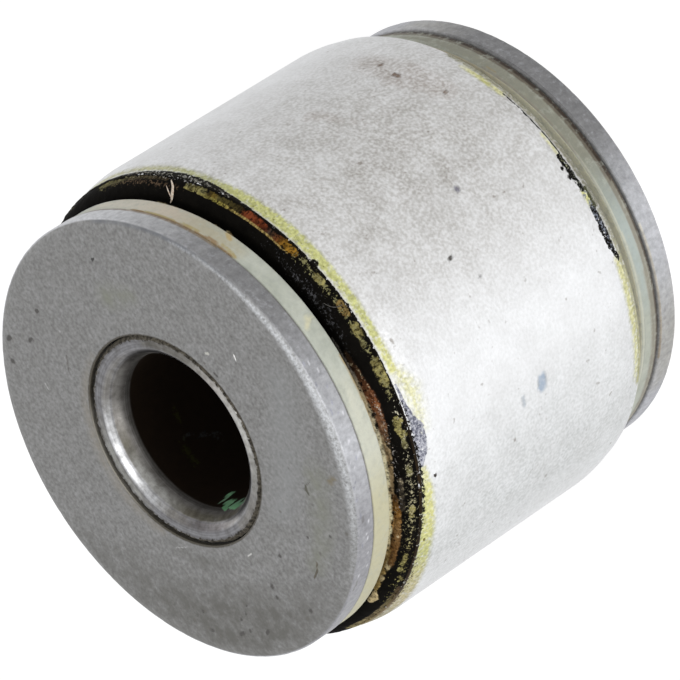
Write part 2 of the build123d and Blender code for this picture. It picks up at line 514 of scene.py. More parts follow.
# %% Mark the sleeve
LIME, BRIGHT_LIME, PALE_LIME, SAND, MOSS = "#cbcd7c", "#e0de8c", "#e9e7b6", "#c4b78a", "#9c9264"
DULL_LIME = "#95937c"
yellow_marks = [
    [(-214, 58.0, 0.3, 0.5, MOSS), (-202, 57.5, 1.0, 0.7, MOSS), (-192, 56.9, 1.9, 0.9, MOSS),
     (-178, 56.7, 2.3, 1.05, MOSS), (-168, 56.7, 2.1, 1.05, SAND), (-157, 56.8, 1.5, 1.1, "#cac286"),
     (-149, 56.9, 1.35, 1.0, LIME), (-140, 57.0, 1.3, 1.1, BRIGHT_LIME),
     (-130, 57.1, 1.0, 1.0, BRIGHT_LIME), (-125, 57.3, 0.6, 0.9, PALE_LIME)],
    [(-115, 56.3, 1.6, 0.5, PALE_LIME), (-106, 56.0, 2.0, 0.62, PALE_LIME),
     (-102, 56.9, 1.3, 0.7, PALE_LIME)],
    [(-101, 57.4, 0.75, 0.9, BRIGHT_LIME), (-90, 57.35, 0.75, 0.95, LIME), (-75, 57.3, 0.85, 1.0, LIME),
     (-64, 57.25, 0.95, 1.1, LIME), (-46, 57.25, 0.85, 1.0, LIME), (-38, 57.1, 0.7, 0.85, "#b9bb85"),
     (-28, 56.9, 0.75, 0.75, "#c6c692"), (-12, 57.2, 0.9, 0.65, "#cccaa6"), (2, 57.4, 0.9, 0.6, PALE_LIME)],
    [(-138, 11.6, 0.8, 0.6, PALE_LIME), (-124, 11.7, 0.95, 0.8, "#e1dea0"),
     (-108, 11.7, 0.85, 0.9, "#e1dea0")],
    keys((-94.2, -91), 12.0, (0.55, 0.6), 1.0, BRIGHT_LIME),
    [(-103.6, 11.6, 0.4, 0.9, PALE_LIME)],
    [(-97, 11.5, 0.35, 0.9, PALE_LIME)],
    keys((-81, -75), 11.9, (0.6, 0.5), (0.7, 0.6), PALE_LIME),
    [(-62, 11.7, 0.7, 0.8, PALE_LIME), (-57, 11.7, 0.8, 0.9, "#d9d788"), (-50, 11.7, 0.7, 0.7, PALE_LIME)],
    [(-140, 10.6, 0.75, 1.0, "#bdba86"), (-112, 10.6, 0.75, 1.0, "#b5b286"),
     (-100, 10.5, 0.75, 1.0, DULL_LIME), (-90, 10.5, 0.8, 1.0, "#7b7a64"),
     (-75, 10.5, 0.75, 1.0, DULL_LIME), (-45, 10.5, 0.75, 1.0, "#a3a18a")],
]
luck = random.Random(11)
for turn in range(4, 160, 13):
    for place, half in ((57.3, 0.8), (11.4, 0.7)):
        start = turn + luck.uniform(-3, 3)
        wide = half * luck.uniform(0.7, 1.3)
        tint = luck.choice((LIME, PALE_LIME, SAND))
        halves = (0.4 * wide, wide, 0.4 * wide)
        yellow_marks.append(keys((start, start + 7, start + 15), place, halves, (0.5, 0.9, 0.6), tint))

BLACK, SLATE, GREASE = "#0c0a07", "#5f616e", "#12100c"
flash_marks = [
    [(-123.8, 57.6, 0.3, 1.0, SLATE), (-121.2, 57.15, 0.8, 1.2, SLATE), (-118, 57.0, 0.95, 1.2, SLATE),
     (-114.5, 57.0, 0.9, 1.2, SLATE), (-112.3, 57.4, 0.55, 1.1, SLATE), (-109, 57.8, 0.3, 1.0, SLATE),
     (-104, 57.95, 0.16, 0.9, SLATE)],
    [(40, 57.6, 0.5, 1.1, SLATE), (47, 57.4, 0.8, 1.1, SLATE), (52, 57.9, 0.3, 1.0, SLATE)],
]
creep_marks = [
    [(-180, 58.2, 0.5, 1.0, "#8a7d5e"), (-168, 58.2, 0.45, 1.0, "#6b5c45"),
     (-160, 58.3, 0.45, 1.0, "#2f261c"), (-140, 58.35, 0.35, 1.0, "#211a10"),
     (-128, 58.3, 0.35, 1.0, "#2b2114"), (-105, 58.45, 0.14, 1.0, BLACK), (-76, 58.45, 0.14, 1.0, BLACK),
     (-54, 58.42, 0.18, 1.0, BLACK), (-46, 58.3, 0.4, 1.0, GREASE), (-40, 58.05, 0.55, 1.0, GREASE),
     (-34, 57.95, 0.65, 1.0, GREASE), (-25, 58.05, 0.5, 1.0, GREASE), (-8, 58.35, 0.3, 1.0, GREASE),
     (20, 58.4, 0.25, 1.0, BLACK)],
    keys((-72.3, -71.6), 58.15, 0.45, 1.0, BLACK),
    [(-83.6, 58.3, 0.3, 1.0, BLACK)],
    [(-127.8, 55.6, 0.28, 1.0, "#3a3430")],
    [(-144.3, 57.2, 0.28, 0.8, "#77703f")],
    [(-107.5, 11.5, 0.5, 1.0, BLACK), (-104.5, 12.0, 0.6, 1.0, BLACK), (-100, 12.1, 0.75, 1.1, BLACK),
     (-97.2, 12.0, 0.6, 1.0, BLACK)],
    keys((-96.4, -95), 12.0, (0.7, 0.55), 1.0, BLACK),
    keys((-90.2, -86, -81.4), (11.9, 12.1, 12.0), (0.45, 0.6, 0.55), 1.0, BLACK),
    keys((-95, -90), (11.35, 11.3), (0.35, 0.3), 1.0, "#4a4b38"),
    [(-86.5, 12.9, 0.4, 1.0, BLACK)],
    [(-84.0, 13.1, 0.36, 1.0, BLACK)],
    keys((-80.5, -70, -62), (11.5, 11.55, 11.45), (0.16, 0.16, 0.14), 1.0, BLACK),
]
for turn in (31, 58, 96, 131, 150):
    wide = luck.uniform(0.3, 0.8)
    front_end, rear_end = turn + luck.uniform(4, 14), turn + luck.uniform(12, 22)
    for start, place, end in ((turn, 58.2, front_end), (turn + 9, 11.4, rear_end)):
        angles = (start - 4, (start + end) / 2, end + 4)
        creep_marks.append(keys(angles, place, (0.1, 0.6 * wide, 0.1), 1.0, BLACK))
grit_and_sheen_marks = [
    [(-142, 57.9, 0.5, 0.55, BLACK), (-130, 57.8, 0.6, 0.7, BLACK), (-108, 58.1, 0.5, 0.6, BLACK)],
    keys((-180, -150), (57.4, 57.6), (1.0, 0.8), 0.5, "#4a3c2c"),
    [(-46, 58.2, 0.35, 0.4, "#85837a"), (-36, 58.1, 0.45, 0.52, "#86847d"),
     (-24, 58.15, 0.4, 0.48, "#85837a"), (-8, 58.2, 0.5, 0.45, "#8d8876")],
    [(-106, 12.0, 0.8, 0.45, "#7c818c"), (-96, 12.0, 0.8, 0.55, "#7c818c"),
     (-82, 12.0, 0.7, 0.45, "#8f8f70")],
    [(-98, 57.6, 0.6, 0.25, "#8a8a50"), (-50, 57.5, 0.7, 0.4, "#77773c")],
]

# The bands of soil with a half width of 60 mm are painted shade too: where the sleeve is in view they darken
# it most near -62 degrees and near -150 degrees. The rusty smudges are soil alone.
WARM_SOIL_AND_SHADE, COOL_SOIL_AND_SHADE, RUSTY_SOIL = "#9a9286", "#aaaeaa", "#84705a"
soil_and_shade_marks = [
    keys((-106, -90, -74, -62, -46, -30, -12), 34, 60, (0.0, 0.4, 0.65, 0.72, 0.65, 0.4, 0.0), WARM_SOIL_AND_SHADE),
    keys((-178, -150, -128, -116), 34, 60, (0.0, 0.55, 0.3, 0.0), COOL_SOIL_AND_SHADE),
    [(-54, 18.5, 3.5, 0.9, RUSTY_SOIL), (-44, 20, 5.0, 1.0, RUSTY_SOIL), (-34, 20, 4.5, 0.7, RUSTY_SOIL)],
    keys((-50, -40), (33, 36), (3.5, 4.5), 0.7, RUSTY_SOIL),
    keys((6, 40, 80, 125, 165), 30, 60, (0.0, 0.8, 0.2, 0.8, 0.0),
         (WARM_SOIL_AND_SHADE, WARM_SOIL_AND_SHADE, WARM_SOIL_AND_SHADE, COOL_SOIL_AND_SHADE, COOL_SOIL_AND_SHADE)),
]
INK, PALE_INK, DOT, RUST_DOT = "#7a899c", "#a3afbe", "#5a5754", "#84756a"
spot_marks = [
    keys((-123.6, -121.6), (32.4, 32.1), (0.9, 0.8), 0.85, PALE_INK),
    keys((-123.1, -122.2), (32.3, 32.2), (0.5, 0.45), 1.0, INK),
    keys((-125.2, -123.2), 36.2, 0.45, 0.6, "#9aa4b0"),
    keys((-75.7, -74.9), 30.7, (0.35, 0.3), 0.8, "#7f7d88"),
    [(-87.2, 39.3, 0.35, 0.95, DOT)],
    [(-94.0, 36.2, 0.35, 0.95, DOT)],
    [(-36.5, 19.7, 0.45, 0.95, RUST_DOT)],
    keys((-43.0, -41.8), 20.5, 0.35, 0.95, RUST_DOT),
    [(-54.2, 18.4, 0.4, 0.9, RUST_DOT)],
    [(22.0, 31.0, 0.8, 0.9, PALE_INK)],
    [(77.0, 44.0, 0.4, 0.9, DOT)],
    [(152.0, 24.0, 0.5, 0.9, RUST_DOT)],
]
flat_marks = {"yellow": yellow_marks, "soil": soil_and_shade_marks, "spots": spot_marks, "grit": grit_and_sheen_marks}
for name, marks in flat_marks.items():
    lay_marks(sleeve, name, angle, radius, height, marks, where=outside)
flash_cover = lay_marks(sleeve, "flash", angle, radius, height, flash_marks, where=outside)
creep_cover = lay_marks(sleeve, "creep", angle, radius, height, creep_marks, where=outside)

FLASH_HEIGHT = 0.2
near_ends = outside & ((height > WORN_FRONT - 0.5) | (height < WORN_REAR + 0.5))
near_ends &= (height < wrap_start - 0.1) & (height > sleeve_rear + 0.7)
thick = np.clip(np.maximum(flash_cover, 0.8 * creep_cover) * 1.6 - 0.5, 0, 1)
lift = FLASH_HEIGHT * thick * (0.75 + 0.5 * lumps(sleeve, 1.1, near_ends, 3))
raise_surface(sleeve, lift * near_ends)
print(f"flash stands up to {lift.max():.2f} mm proud")

# %% [markdown]
# The zinc is a rough metal with grains of about a quarter of a millimetre. Grain changes its colour
# and its height a little. Handling soil with painted shade in it, freckles, the yellow edge and the
# black flash lie over it in that order. A thick coat is dull, so the metal is only partly metallic.

# %% Zinc finish
GRAIN = 0.48  # noise cell in mm, which gives grains of about half that
zinc, add, here = start_material("zinc_coated_swaged_steel")
grain, even = noisy(add, here, GRAIN, 1.5, 0.5, 0.25, 0.75)
metal = add("Mix", {**BLEND, MIX_A: linear("#dedfe0"), MIX_B: linear("#e9eaec")}, {0: even}, MIX_OUT)
_, clouds = noisy(add, here, 5, 4.0, 0.6, 0.35, 0.7, to_high=0.2)
metal = add("Mix", {**MULTIPLY, MIX_B: linear("#cac8c4")}, {0: clouds, MIX_A: metal}, MIX_OUT)

# The soil marks, which carry painted shade as well.
soil, soil_and_shade_density = read_marks(add, "soil")
_, patches = noisy(add, here, 3.5, 5.0, 0.65, 0.3, 0.7, 0.3, 0.6)
hollows = {"From Min": 0.65, "From Max": 0.35, "To Min": 0.7, "To Max": 1.28}
between = add("MapRange", hollows, {"Value": grain})
soil_and_shade_on = combine(add, "MULTIPLY", patches, between, soil_and_shade_density)
soiled_and_shaded = add("Mix", MULTIPLY, {0: soil_and_shade_on, MIX_A: metal, MIX_B: soil}, MIX_OUT)
_, freckles = noisy(add, here, 1.3, 2.0, 0.5, 0.70, 0.78, to_high=0.55)
soiled_and_shaded = add("Mix", {**BLEND, MIX_B: linear("#756a60")}, {0: freckles, MIX_A: soiled_and_shaded}, MIX_OUT)
spotted, _ = cover_with_marks(add, soiled_and_shaded, "spots", here, 0.6, 1.0, soft=0.3)

yellowed, yellow_on = cover_with_marks(add, spotted, "yellow", here, 0.7, 1.3, soft=0.45)
yellow_on = add("Math", {"operation": "MULTIPLY", 1: 0.85}, {0: yellow_on})
crumb = add("Mix", {**BLEND, MIX_A: linear("#a3a285"), MIX_B: linear("#ffffff")}, {0: even}, MIX_OUT)
yellowed = add("Mix", {**MULTIPLY, 0: 0.8}, {MIX_A: yellowed, MIX_B: crumb}, MIX_OUT)
yellowed = add("Mix", BLEND, {0: yellow_on, MIX_A: spotted, MIX_B: yellowed}, MIX_OUT)

flashed, flash_on = cover_with_marks(add, yellowed, "flash", here, 0.8, 1.6, soft=0.12)
_, specks = noisy(add, here, 0.5, 3.0, 0.7, 0.42, 0.58, to_high=0.9)
specks = add("Math", {"operation": "MULTIPLY"}, {0: specks, 1: flash_on})
flashed = add("Mix", {**BLEND, MIX_B: linear("#bbbcc4")}, {0: specks, MIX_A: flashed}, MIX_OUT)
crept, creep_on = cover_with_marks(add, flashed, "creep", here, 0.6, 2.0, soft=0.1)
with_grit_and_sheen, grit_on = sprinkle(add, crept, "grit", here, 0.45)
coated = combine(add, "MAXIMUM", yellow_on, flash_on, creep_on, grit_on)
metallic = add("MapRange", {"To Min": 0.35, "To Max": 0.0}, {"Value": coated})
rough = add("MapRange", {"To Min": 0.62, "To Max": 0.48}, {"Value": grain})
relief = add("Bump", {"Strength": 1.0, "Distance": 0.06 * MM}, {"Height": grain})
surface = {"Base Color": with_grit_and_sheen, "Metallic": metallic, "Roughness": rough, "Normal": relief}
shaded = add("BsdfPrincipled", {"Specular IOR Level": 0.05}, surface)
add("OutputMaterial", links={"Surface": shaded})
finish_piece(sleeve, zinc, "sleeve_steel", "outer_sleeve")

# %% [markdown]
# ## Rubber body
# Black rubber, moulded and bonded between tube and sleeve in one shot. At each end a ring groove
# lets it flex. At the front it laps over the sleeve's nose as a thin rolled skin. The skin is rubbed
# through in patches, powdered with dried bonding agent at the outside, and smeared with old grease
# where it meets the wear disc.

# %% Turn the rubber
rear_lip = swaged_radius(sleeve_rear) - SLEEVE_WALL - LIP_WIDTH
front_lip = nose_front - SLEEVE_WALL - LIP_WIDTH
hub_radius = rear_lip - GROOVE_WIDTH
groove_front, groove_rear = rubber_front - GROOVE_DEPTH, rubber_rear + GROOVE_DEPTH
rubber_corners = [
    (front_lip, wrap_front),
    (swaged_radius(wrap_front), wrap_front, "round", WRAP_CORNER),
    (nose_rear, wrap_start),
    (nose_rear - WRAP_THICKNESS, wrap_start),
    (nose_front - WRAP_THICKNESS, sleeve_front, "chamfer", FRONT_END_CHAMFER),
    (nose_front - SLEEVE_WALL, sleeve_front),
    (sleeve_radius - SLEEVE_WALL, front_taper_start),
    (sleeve_radius - SLEEVE_WALL, rear_taper_start),
    (swaged_radius(sleeve_rear) - SLEEVE_WALL, sleeve_rear),
    (rear_lip, sleeve_rear),
    (rear_lip - GROOVE_FLANK, groove_rear, "round", GROOVE_ROUND),
    (hub_radius + GROOVE_FLANK, groove_rear, "round", GROOVE_ROUND),
    (hub_radius, rubber_rear),
    (tube_radius, rubber_rear),
    (tube_radius, rubber_front),
    (hub_radius, rubber_front),
    (hub_radius + GROOVE_FLANK, groove_front, "round", GROOVE_ROUND),
    (front_lip - GROOVE_FLANK, groove_front, "round", GROOVE_ROUND),
]


def rubber_rows(radius, height):
    """Fine rows on the wrap, medium ones in the grooves, and coarse ones where it is bonded."""
    if height > wrap_start - 0.1 and radius > front_lip - 0.6:
        return 0.2
    return 1.2 if hub_radius - 0.5 < radius < front_lip + 0.8 and not 14 < height < 56 else 6.0


rubber = turn_ring("rubber_body_moulded", rubber_corners, rubber_rows)
angle, radius, height, along = measure(rubber)
LIP_PLACE = 1.0  # the wrap's distances are counted from 1 mm inside its lip
along = along + LIP_PLACE
whole = along.max()
along = np.where(along > whole - 4, along - whole, along)
on_wrap = (along > -2) & (along < 6.6)

# %% Mark the rubber
OCHRE, BROWN, RUST, OLIVE, MUSTARD = "#8f6a26", "#6b3f22", "#743a22", "#5c5530", "#8a7636"
KHAKI, DIM_KHAKI, TAN, SOOT = "#98905c", "#7a7652", "#a8925a", "#3d342c"
worn_marks = [
    [(-67.3, 5.5, 0.55, 1.0, OCHRE), (-64, 5.5, 0.85, 1.1, OCHRE), (-62, 5.4, 0.6, 1.0, BROWN),
     (-59.6, 5.4, 0.45, 0.9, SOOT), (-58, 5.5, 0.6, 1.0, RUST), (-51.8, 5.5, 0.65, 1.1, RUST),
     (-50.6, 5.5, 0.6, 1.0, "#40371e"), (-44, 5.5, 0.5, 0.9, OLIVE), (-42.3, 5.4, 0.6, 1.0, MUSTARD),
     (-39.5, 5.4, 0.6, 1.0, DIM_KHAKI), (-37.5, 5.5, 0.5, 0.9, KHAKI), (-34.3, 5.6, 0.4, 0.9, DIM_KHAKI)],
    [(-66, 4.72, 0.14, 0.9, TAN), (-52, 4.8, 0.18, 1.0, TAN), (-44, 4.85, 0.28, 1.0, "#a39a4e"),
     (-38, 4.95, 0.25, 1.0, KHAKI), (-34, 5.0, 0.18, 0.9, KHAKI)],
    keys((-76.3, -74.3), 5.45, 0.55, 1.0, KHAKI),
    keys((-70.5, -69.5), 5.7, 0.35, 0.8, DIM_KHAKI),
    keys((-85, -82.4), 5.6, (0.6, 0.55), 1.0, "#8a7446"),
    keys((-90.4, -88.3), 5.55, 0.65, 1.0, KHAKI),
    keys((-93, -91.9), 5.2, (0.4, 0.35), 0.9, DIM_KHAKI),
    keys((-102.2, -97.5), 5.55, 0.75, 1.1, KHAKI),
    [(-104.5, 5.2, 0.3, 0.8, DIM_KHAKI)],
    [(-115.1, 5.1, 0.4, 1.0, KHAKI), (-113.6, 4.9, 0.5, 1.1, KHAKI), (-111.4, 5.1, 0.6, 1.0, KHAKI)],
    keys((-115.2, -114.6), (5.9, 5.6), (0.3, 0.4), 1.0, KHAKI),
    [(-112.0, 5.6, 0.45, 1.0, KHAKI)],
    keys((-117.7, -116.5), 5.3, (0.5, 0.45), 0.9, DIM_KHAKI),
    keys((-124.8, -123.2), 5.2, 0.5, 0.9, DIM_KHAKI),
    keys((-135.8, -133.7), 5.1, (0.5, 0.45), 0.9, KHAKI),
    keys((-153, -151), 4.7, 0.4, 1.0, "#9a9460"),
    keys((-150, -147.6), 4.9, (0.4, 0.35), 0.9, KHAKI),
    keys((-157, -155.4), (6.0, 5.0), 0.35, 0.9, KHAKI),
    [(-183, 5.6, 1.0, 1.0, "#a0956a"), (-174, 5.7, 0.8, 1.0, "#85775a"), (-166, 5.8, 0.6, 0.9, "#6f6548"),
     (-160, 5.9, 0.5, 0.8, "#5f4f3c")],
    keys((-28, -17, -4), 5.7, (0.35, 0.45, 0.5), 0.9, ("#4a4030", "#5a523c", DIM_KHAKI)),
]
GREASY_BROWN, AMBER_GREASE, DIRTY_TAN, CHALK = "#5f3d28", "#7c5828", "#8b7758", "#bba980"
GREASE_CREAM = "#e4dbb4"
residue_marks = [
    [(-116, 2.7, 0.6, 0.9, "#6f5640"), (-112, 2.8, 0.75, 1.0, "#7b583e"), (-106, 2.8, 0.85, 1.1, "#7f4f32"),
     (-102, 2.5, 0.8, 1.0, GREASY_BROWN), (-97, 2.3, 0.6, 0.9, "#3f2a1a"), (-92, 2.0, 0.4, 0.8, "#251a10")],
    [(-130, 2.1, 0.4, 0.7, DIRTY_TAN), (-122, 2.4, 0.5, 0.75, DIRTY_TAN), (-115, 2.5, 0.7, 0.9, DIRTY_TAN)],
    [(-152, 3.0, 0.6, 1.0, "#5f4628"), (-146, 3.0, 0.7, 1.0, "#6b4c2a"), (-140, 2.9, 0.75, 1.0, "#7d603c"),
     (-135, 2.8, 0.65, 1.0, AMBER_GREASE), (-131, 2.5, 0.45, 1.0, "#4e3820")],
    [(-141.5, 2.9, 0.5, 1.0, "#c79a5e"), (-139.2, 2.7, 0.7, 1.1, "#c79a5e")],
    [(-150, 2.0, 0.45, 1.0, "#b79c66"), (-142, 1.7, 0.55, 1.1, GREASE_CREAM),
     (-128, 1.5, 0.6, 1.1, GREASE_CREAM), (-114, 1.5, 0.65, 1.1, "#ddd3b2"),
     (-104, 1.4, 0.6, 1.1, "#bcac88"), (-96, 1.3, 0.5, 1.0, "#8a837a"), (-88, 1.1, 0.3, 0.8, "#4a4844")],
    [(-153.6, 2.7, 0.5, 1.0, CHALK), (-152.2, 2.9, 0.6, 1.1, CHALK), (-150.5, 2.6, 0.5, 1.0, "#96804e")],
    keys((-158.3, -156.8), 2.7, 0.4, 1.0, CHALK),
    keys((-162, -148), (2.5, 2.4), 0.6, 1.0, ("#96804e", "#8f7444")),
    [(-167.2, 3.2, 0.5, 1.0, CHALK), (-165, 3.3, 0.65, 1.1, CHALK), (-163.5, 3.0, 0.4, 1.0, CHALK)],
    keys((-51.0, -49.8), (0.9, 1.2), 0.5, 1.0, ("#a98f62", CHALK)),
    keys((-134, -126), (3.7, 3.6), (0.4, 0.5), 0.85, "#3a342b"),
    keys((-47, -36, -26), (1.1, 1.4, 1.9), (0.22, 0.22, 0.2), 0.8, "#9a8d6c"),
]
WHITISH, GREY = "#c2bda6", "#77777b"
grit_and_sheen_marks = [
    [(-165, 5.2, 1.4, 0.3, KHAKI), (-150, 5.1, 1.4, 0.35, KHAKI), (-136, 5.0, 1.5, 0.42, "#9d9676"),
     (-120, 5.3, 1.3, 0.4, "#a39d84"), (-108, 5.6, 1.0, 0.3, WHITISH), (-98, 5.7, 0.8, 0.15, KHAKI)],
    [(-135, 3.4, 0.7, 0.3, GREY), (-112, 3.1, 0.8, 0.42, "#a8a298"), (-104, 2.9, 0.8, 0.35, "#a8a298")],
    [(-106, 5.5, 0.8, 0.5, DIM_KHAKI), (-92, 5.4, 0.9, 0.45, DIM_KHAKI), (-68, 5.4, 0.9, 0.5, DIM_KHAKI)],
    [(-33, 4.6, 1.2, 0.35, "#5c4c3c"), (-16, 5.0, 1.0, 0.5, "#5c4c3c"), (-4, 5.4, 0.8, 0.5, DIM_KHAKI)],
    # These dark grey specks next to the disc are painted sheen.
    [(-95, 2.6, 1.2, 0.3, "#3a3a3c"), (-84, 3.0, 1.5, 0.48, "#3f3f41"), (-70, 3.2, 1.6, 0.45, "#464648"),
     (-58, 3.2, 1.4, 0.25, "#3a3a3c")],
    [(-38, 6.0, 0.4, 0.35, "#8f8d8a"), (-28, 6.0, 0.4, 0.35, "#8f8d8a"), (-6, 5.9, 0.5, 0.4, KHAKI)],
    [(20, 5.3, 1.4, 0.5, KHAKI), (90, 5.2, 1.4, 0.6, WHITISH), (160, 5.3, 1.4, 0.5, KHAKI)],
]
luck = random.Random(23)
for turn in range(6, 176, 10):
    start, place = turn + luck.uniform(-3, 3), luck.uniform(5.2, 5.6)
    tint, wide = luck.choice((OLIVE, KHAKI, BROWN, DIM_KHAKI)), luck.uniform(0.35, 0.7)
    worn_marks.append(keys((start, start + luck.uniform(1, 4)), place, wide, 1.0, tint))
for turn in (12, 40, 88, 130):
    tint = luck.choice((GREASY_BROWN, AMBER_GREASE, DIRTY_TAN))
    residue_marks.append(keys((turn, turn + luck.uniform(6, 18)), (1.9, 2.2), (0.7, 0.9), 1.0, tint))
worn_cover = lay_marks(rubber, "worn", angle, radius, along, worn_marks, where=on_wrap)
residue_cover = lay_marks(rubber, "residue", angle, radius, along, residue_marks, where=on_wrap)
grit_and_sheen_cover = lay_marks(rubber, "grit", angle, radius, along, grit_and_sheen_marks, where=on_wrap)

WORN_DEPTH, RESIDUE_HEIGHT, SKIN_ROUGHNESS = 0.08, 0.16, 0.05
open_skin = on_wrap & (along > 0.2) & (along < 6.1)
lift = SKIN_ROUGHNESS * (1 + 1.5 * grit_and_sheen_cover) * lumps(rubber, 0.8, open_skin, 5)
lift += 0.05 * lumps(rubber, 3.5, open_skin, 9)
lift -= WORN_DEPTH * np.clip(worn_cover * 2 - 0.6, 0, 1)
lift += RESIDUE_HEIGHT * np.clip(residue_cover * 2 - 0.6, 0, 1) * (1 + 0.8 * lumps(rubber, 1.3, open_skin, 7))
bead = np.interp(angle, (-152, -143, -112, -101, -90), (0.0, 0.85, 0.75, 0.45, 0.0))
lift += bead * np.clip((2.3 - along) / 0.9, 0, 1) * (1 + 0.35 * lumps(rubber, 1.5, open_skin, 12))
raise_surface(rubber, np.where(open_skin, lift - 0.05, 0.0))
print(f"the wrap's skin moves from {lift.min():.2f} to {lift.max():.2f} mm")

# %% [markdown]
# Rubber is nearly black and has little gloss once it is dusty. What was dragged over the wrap left
# short lines straight across it, so that pattern follows the angle alone: each place is pushed out
# to one radius before it reaches the noise.


# %% Rubber finish
def away_from_axis(add, here):
    """The part of a place that points away from the bush's axis."""
    return add("VectorMath", {"operation": "MULTIPLY", 1: (1, 1, 0)}, {0: here})


def distance_from_axis(add, here):
    """How far a place lies from the bush's axis."""
    return add("VectorMath", {"operation": "LENGTH"}, {0: away_from_axis(add, here)}, out=1)


def combed(add, here, ring_radius, across=0.0):
    """Places pushed out to one radius, so that a pattern on them runs straight across the ring."""
    outward = add("VectorMath", {"operation": "NORMALIZE"}, {0: away_from_axis(add, here)})
    outward = add("VectorMath", {"operation": "SCALE", "Scale": ring_radius * MM}, {0: outward})
    slowly = add("VectorMath", {"operation": "MULTIPLY", 1: (0, 0, across)}, {0: here})
    return add("VectorMath", {"operation": "ADD"}, {0: outward, 1: slowly})


WRAP_RADIUS = 36
vulcanised, add, here = start_material("vulcanised_black_rubber")
_, bloom = noisy(add, here, 1.5, 5.0, 0.65, 0.3, 0.75)
black = add("Mix", {**BLEND, MIX_A: linear("#040302"), MIX_B: linear("#0d0b08")}, {0: bloom}, MIX_OUT)
greasy, residue_on = cover_with_marks(add, black, "residue", here, 0.8, 2.0, soft=0.2)
smear, smears = noisy(add, here, 0.7, 4.0, 0.7, 0.38, 0.55, to_low=0.35)
smears = add("Math", {"operation": "MULTIPLY"}, {0: smears, 1: residue_on})
greasy = add("Mix", BLEND, {0: smears, MIX_A: black, MIX_B: greasy}, MIX_OUT)
crust = add("MapRange", {"From Min": 0.58, "From Max": 0.70, "To Max": 0.65}, {"Value": smear})
crust = add("Math", {"operation": "MULTIPLY"}, {0: crust, 1: residue_on})
greasy = add("Mix", {**BLEND, MIX_B: linear("#cbbd9c")}, {0: crust, MIX_A: greasy}, MIX_OUT)

worn, worn_on = cover_with_marks(add, greasy, "worn", here, 0.7, 2.0, soft=0.15)
_, drags = noisy(add, combed(add, here, WRAP_RADIUS, across=0.35), 0.55, 4.0, 0.7, 0.38, 0.62)
drags = add("Mix", {**BLEND, MIX_A: linear("#6f675c"), MIX_B: linear("#ffffff")}, {0: drags}, MIX_OUT)
worn = add("Mix", {**MULTIPLY, 0: 0.9}, {MIX_A: worn, MIX_B: drags}, MIX_OUT)
crack, cracks = noisy(add, here, 0.5, 3.0, 0.7, 0.38, 0.48, to_low=0.15)
worn_on = add("Math", {"operation": "MULTIPLY"}, {0: worn_on, 1: cracks})
worn = add("Mix", BLEND, {0: worn_on, MIX_A: greasy, MIX_B: worn}, MIX_OUT)
with_grit_and_sheen, _ = sprinkle(add, worn, "grit", here, 0.42)
relief = add("Bump", {"Strength": 0.7, "Distance": 0.06 * MM}, {"Height": crack})
dusty_skin = {"Roughness": 0.8, "IOR": 1.52, "Specular IOR Level": 0.04}
shaded = add("BsdfPrincipled", dusty_skin, {"Base Color": with_grit_and_sheen, "Normal": relief})
add("OutputMaterial", links={"Surface": shaded})
finish_piece(rubber, vulcanised, "rubber", "rubber_body")

# %% [markdown]
# ## Wear discs
# Nylon rings, once ivory, now grey-green. Moulded nylon is a little translucent, takes on grease,
# and goes amber where rust and oil creep in from the washer. The rear one stands in shadow in its
# gap, where dirt has gathered. Its front edge and bands along its rim are painted lighter, as light,
# and the groove next to the washer and the far side of its rim are painted darker, as shade.

# %% Turn the wear discs
DISC_STEPS = 544


def disc_corners(low, high):
    """A wear disc's section, whose rim edges are rounded by the mould."""
    return [
        (DISC_HOLE, low),
        (disc_radius, low, "round", DISC_CHAMFER),
        (disc_radius, high, "round", DISC_CHAMFER),
        (DISC_HOLE, high),
    ]


def disc_rows(radius, height):
    """Fine rows near the rim."""
    return 0.28 if radius > 32 else 2.0


front_disc = turn_ring("front_wear_disc_moulded", disc_corners(disc_back, disc_face), disc_rows, DISC_STEPS)
rear_disc_low, rear_disc_high = span("rear_wear_disc")[1:]
rear_corners = disc_corners(rear_disc_low, rear_disc_high)
rear_disc = turn_ring("rear_wear_disc_moulded", rear_corners, disc_rows, DISC_STEPS)

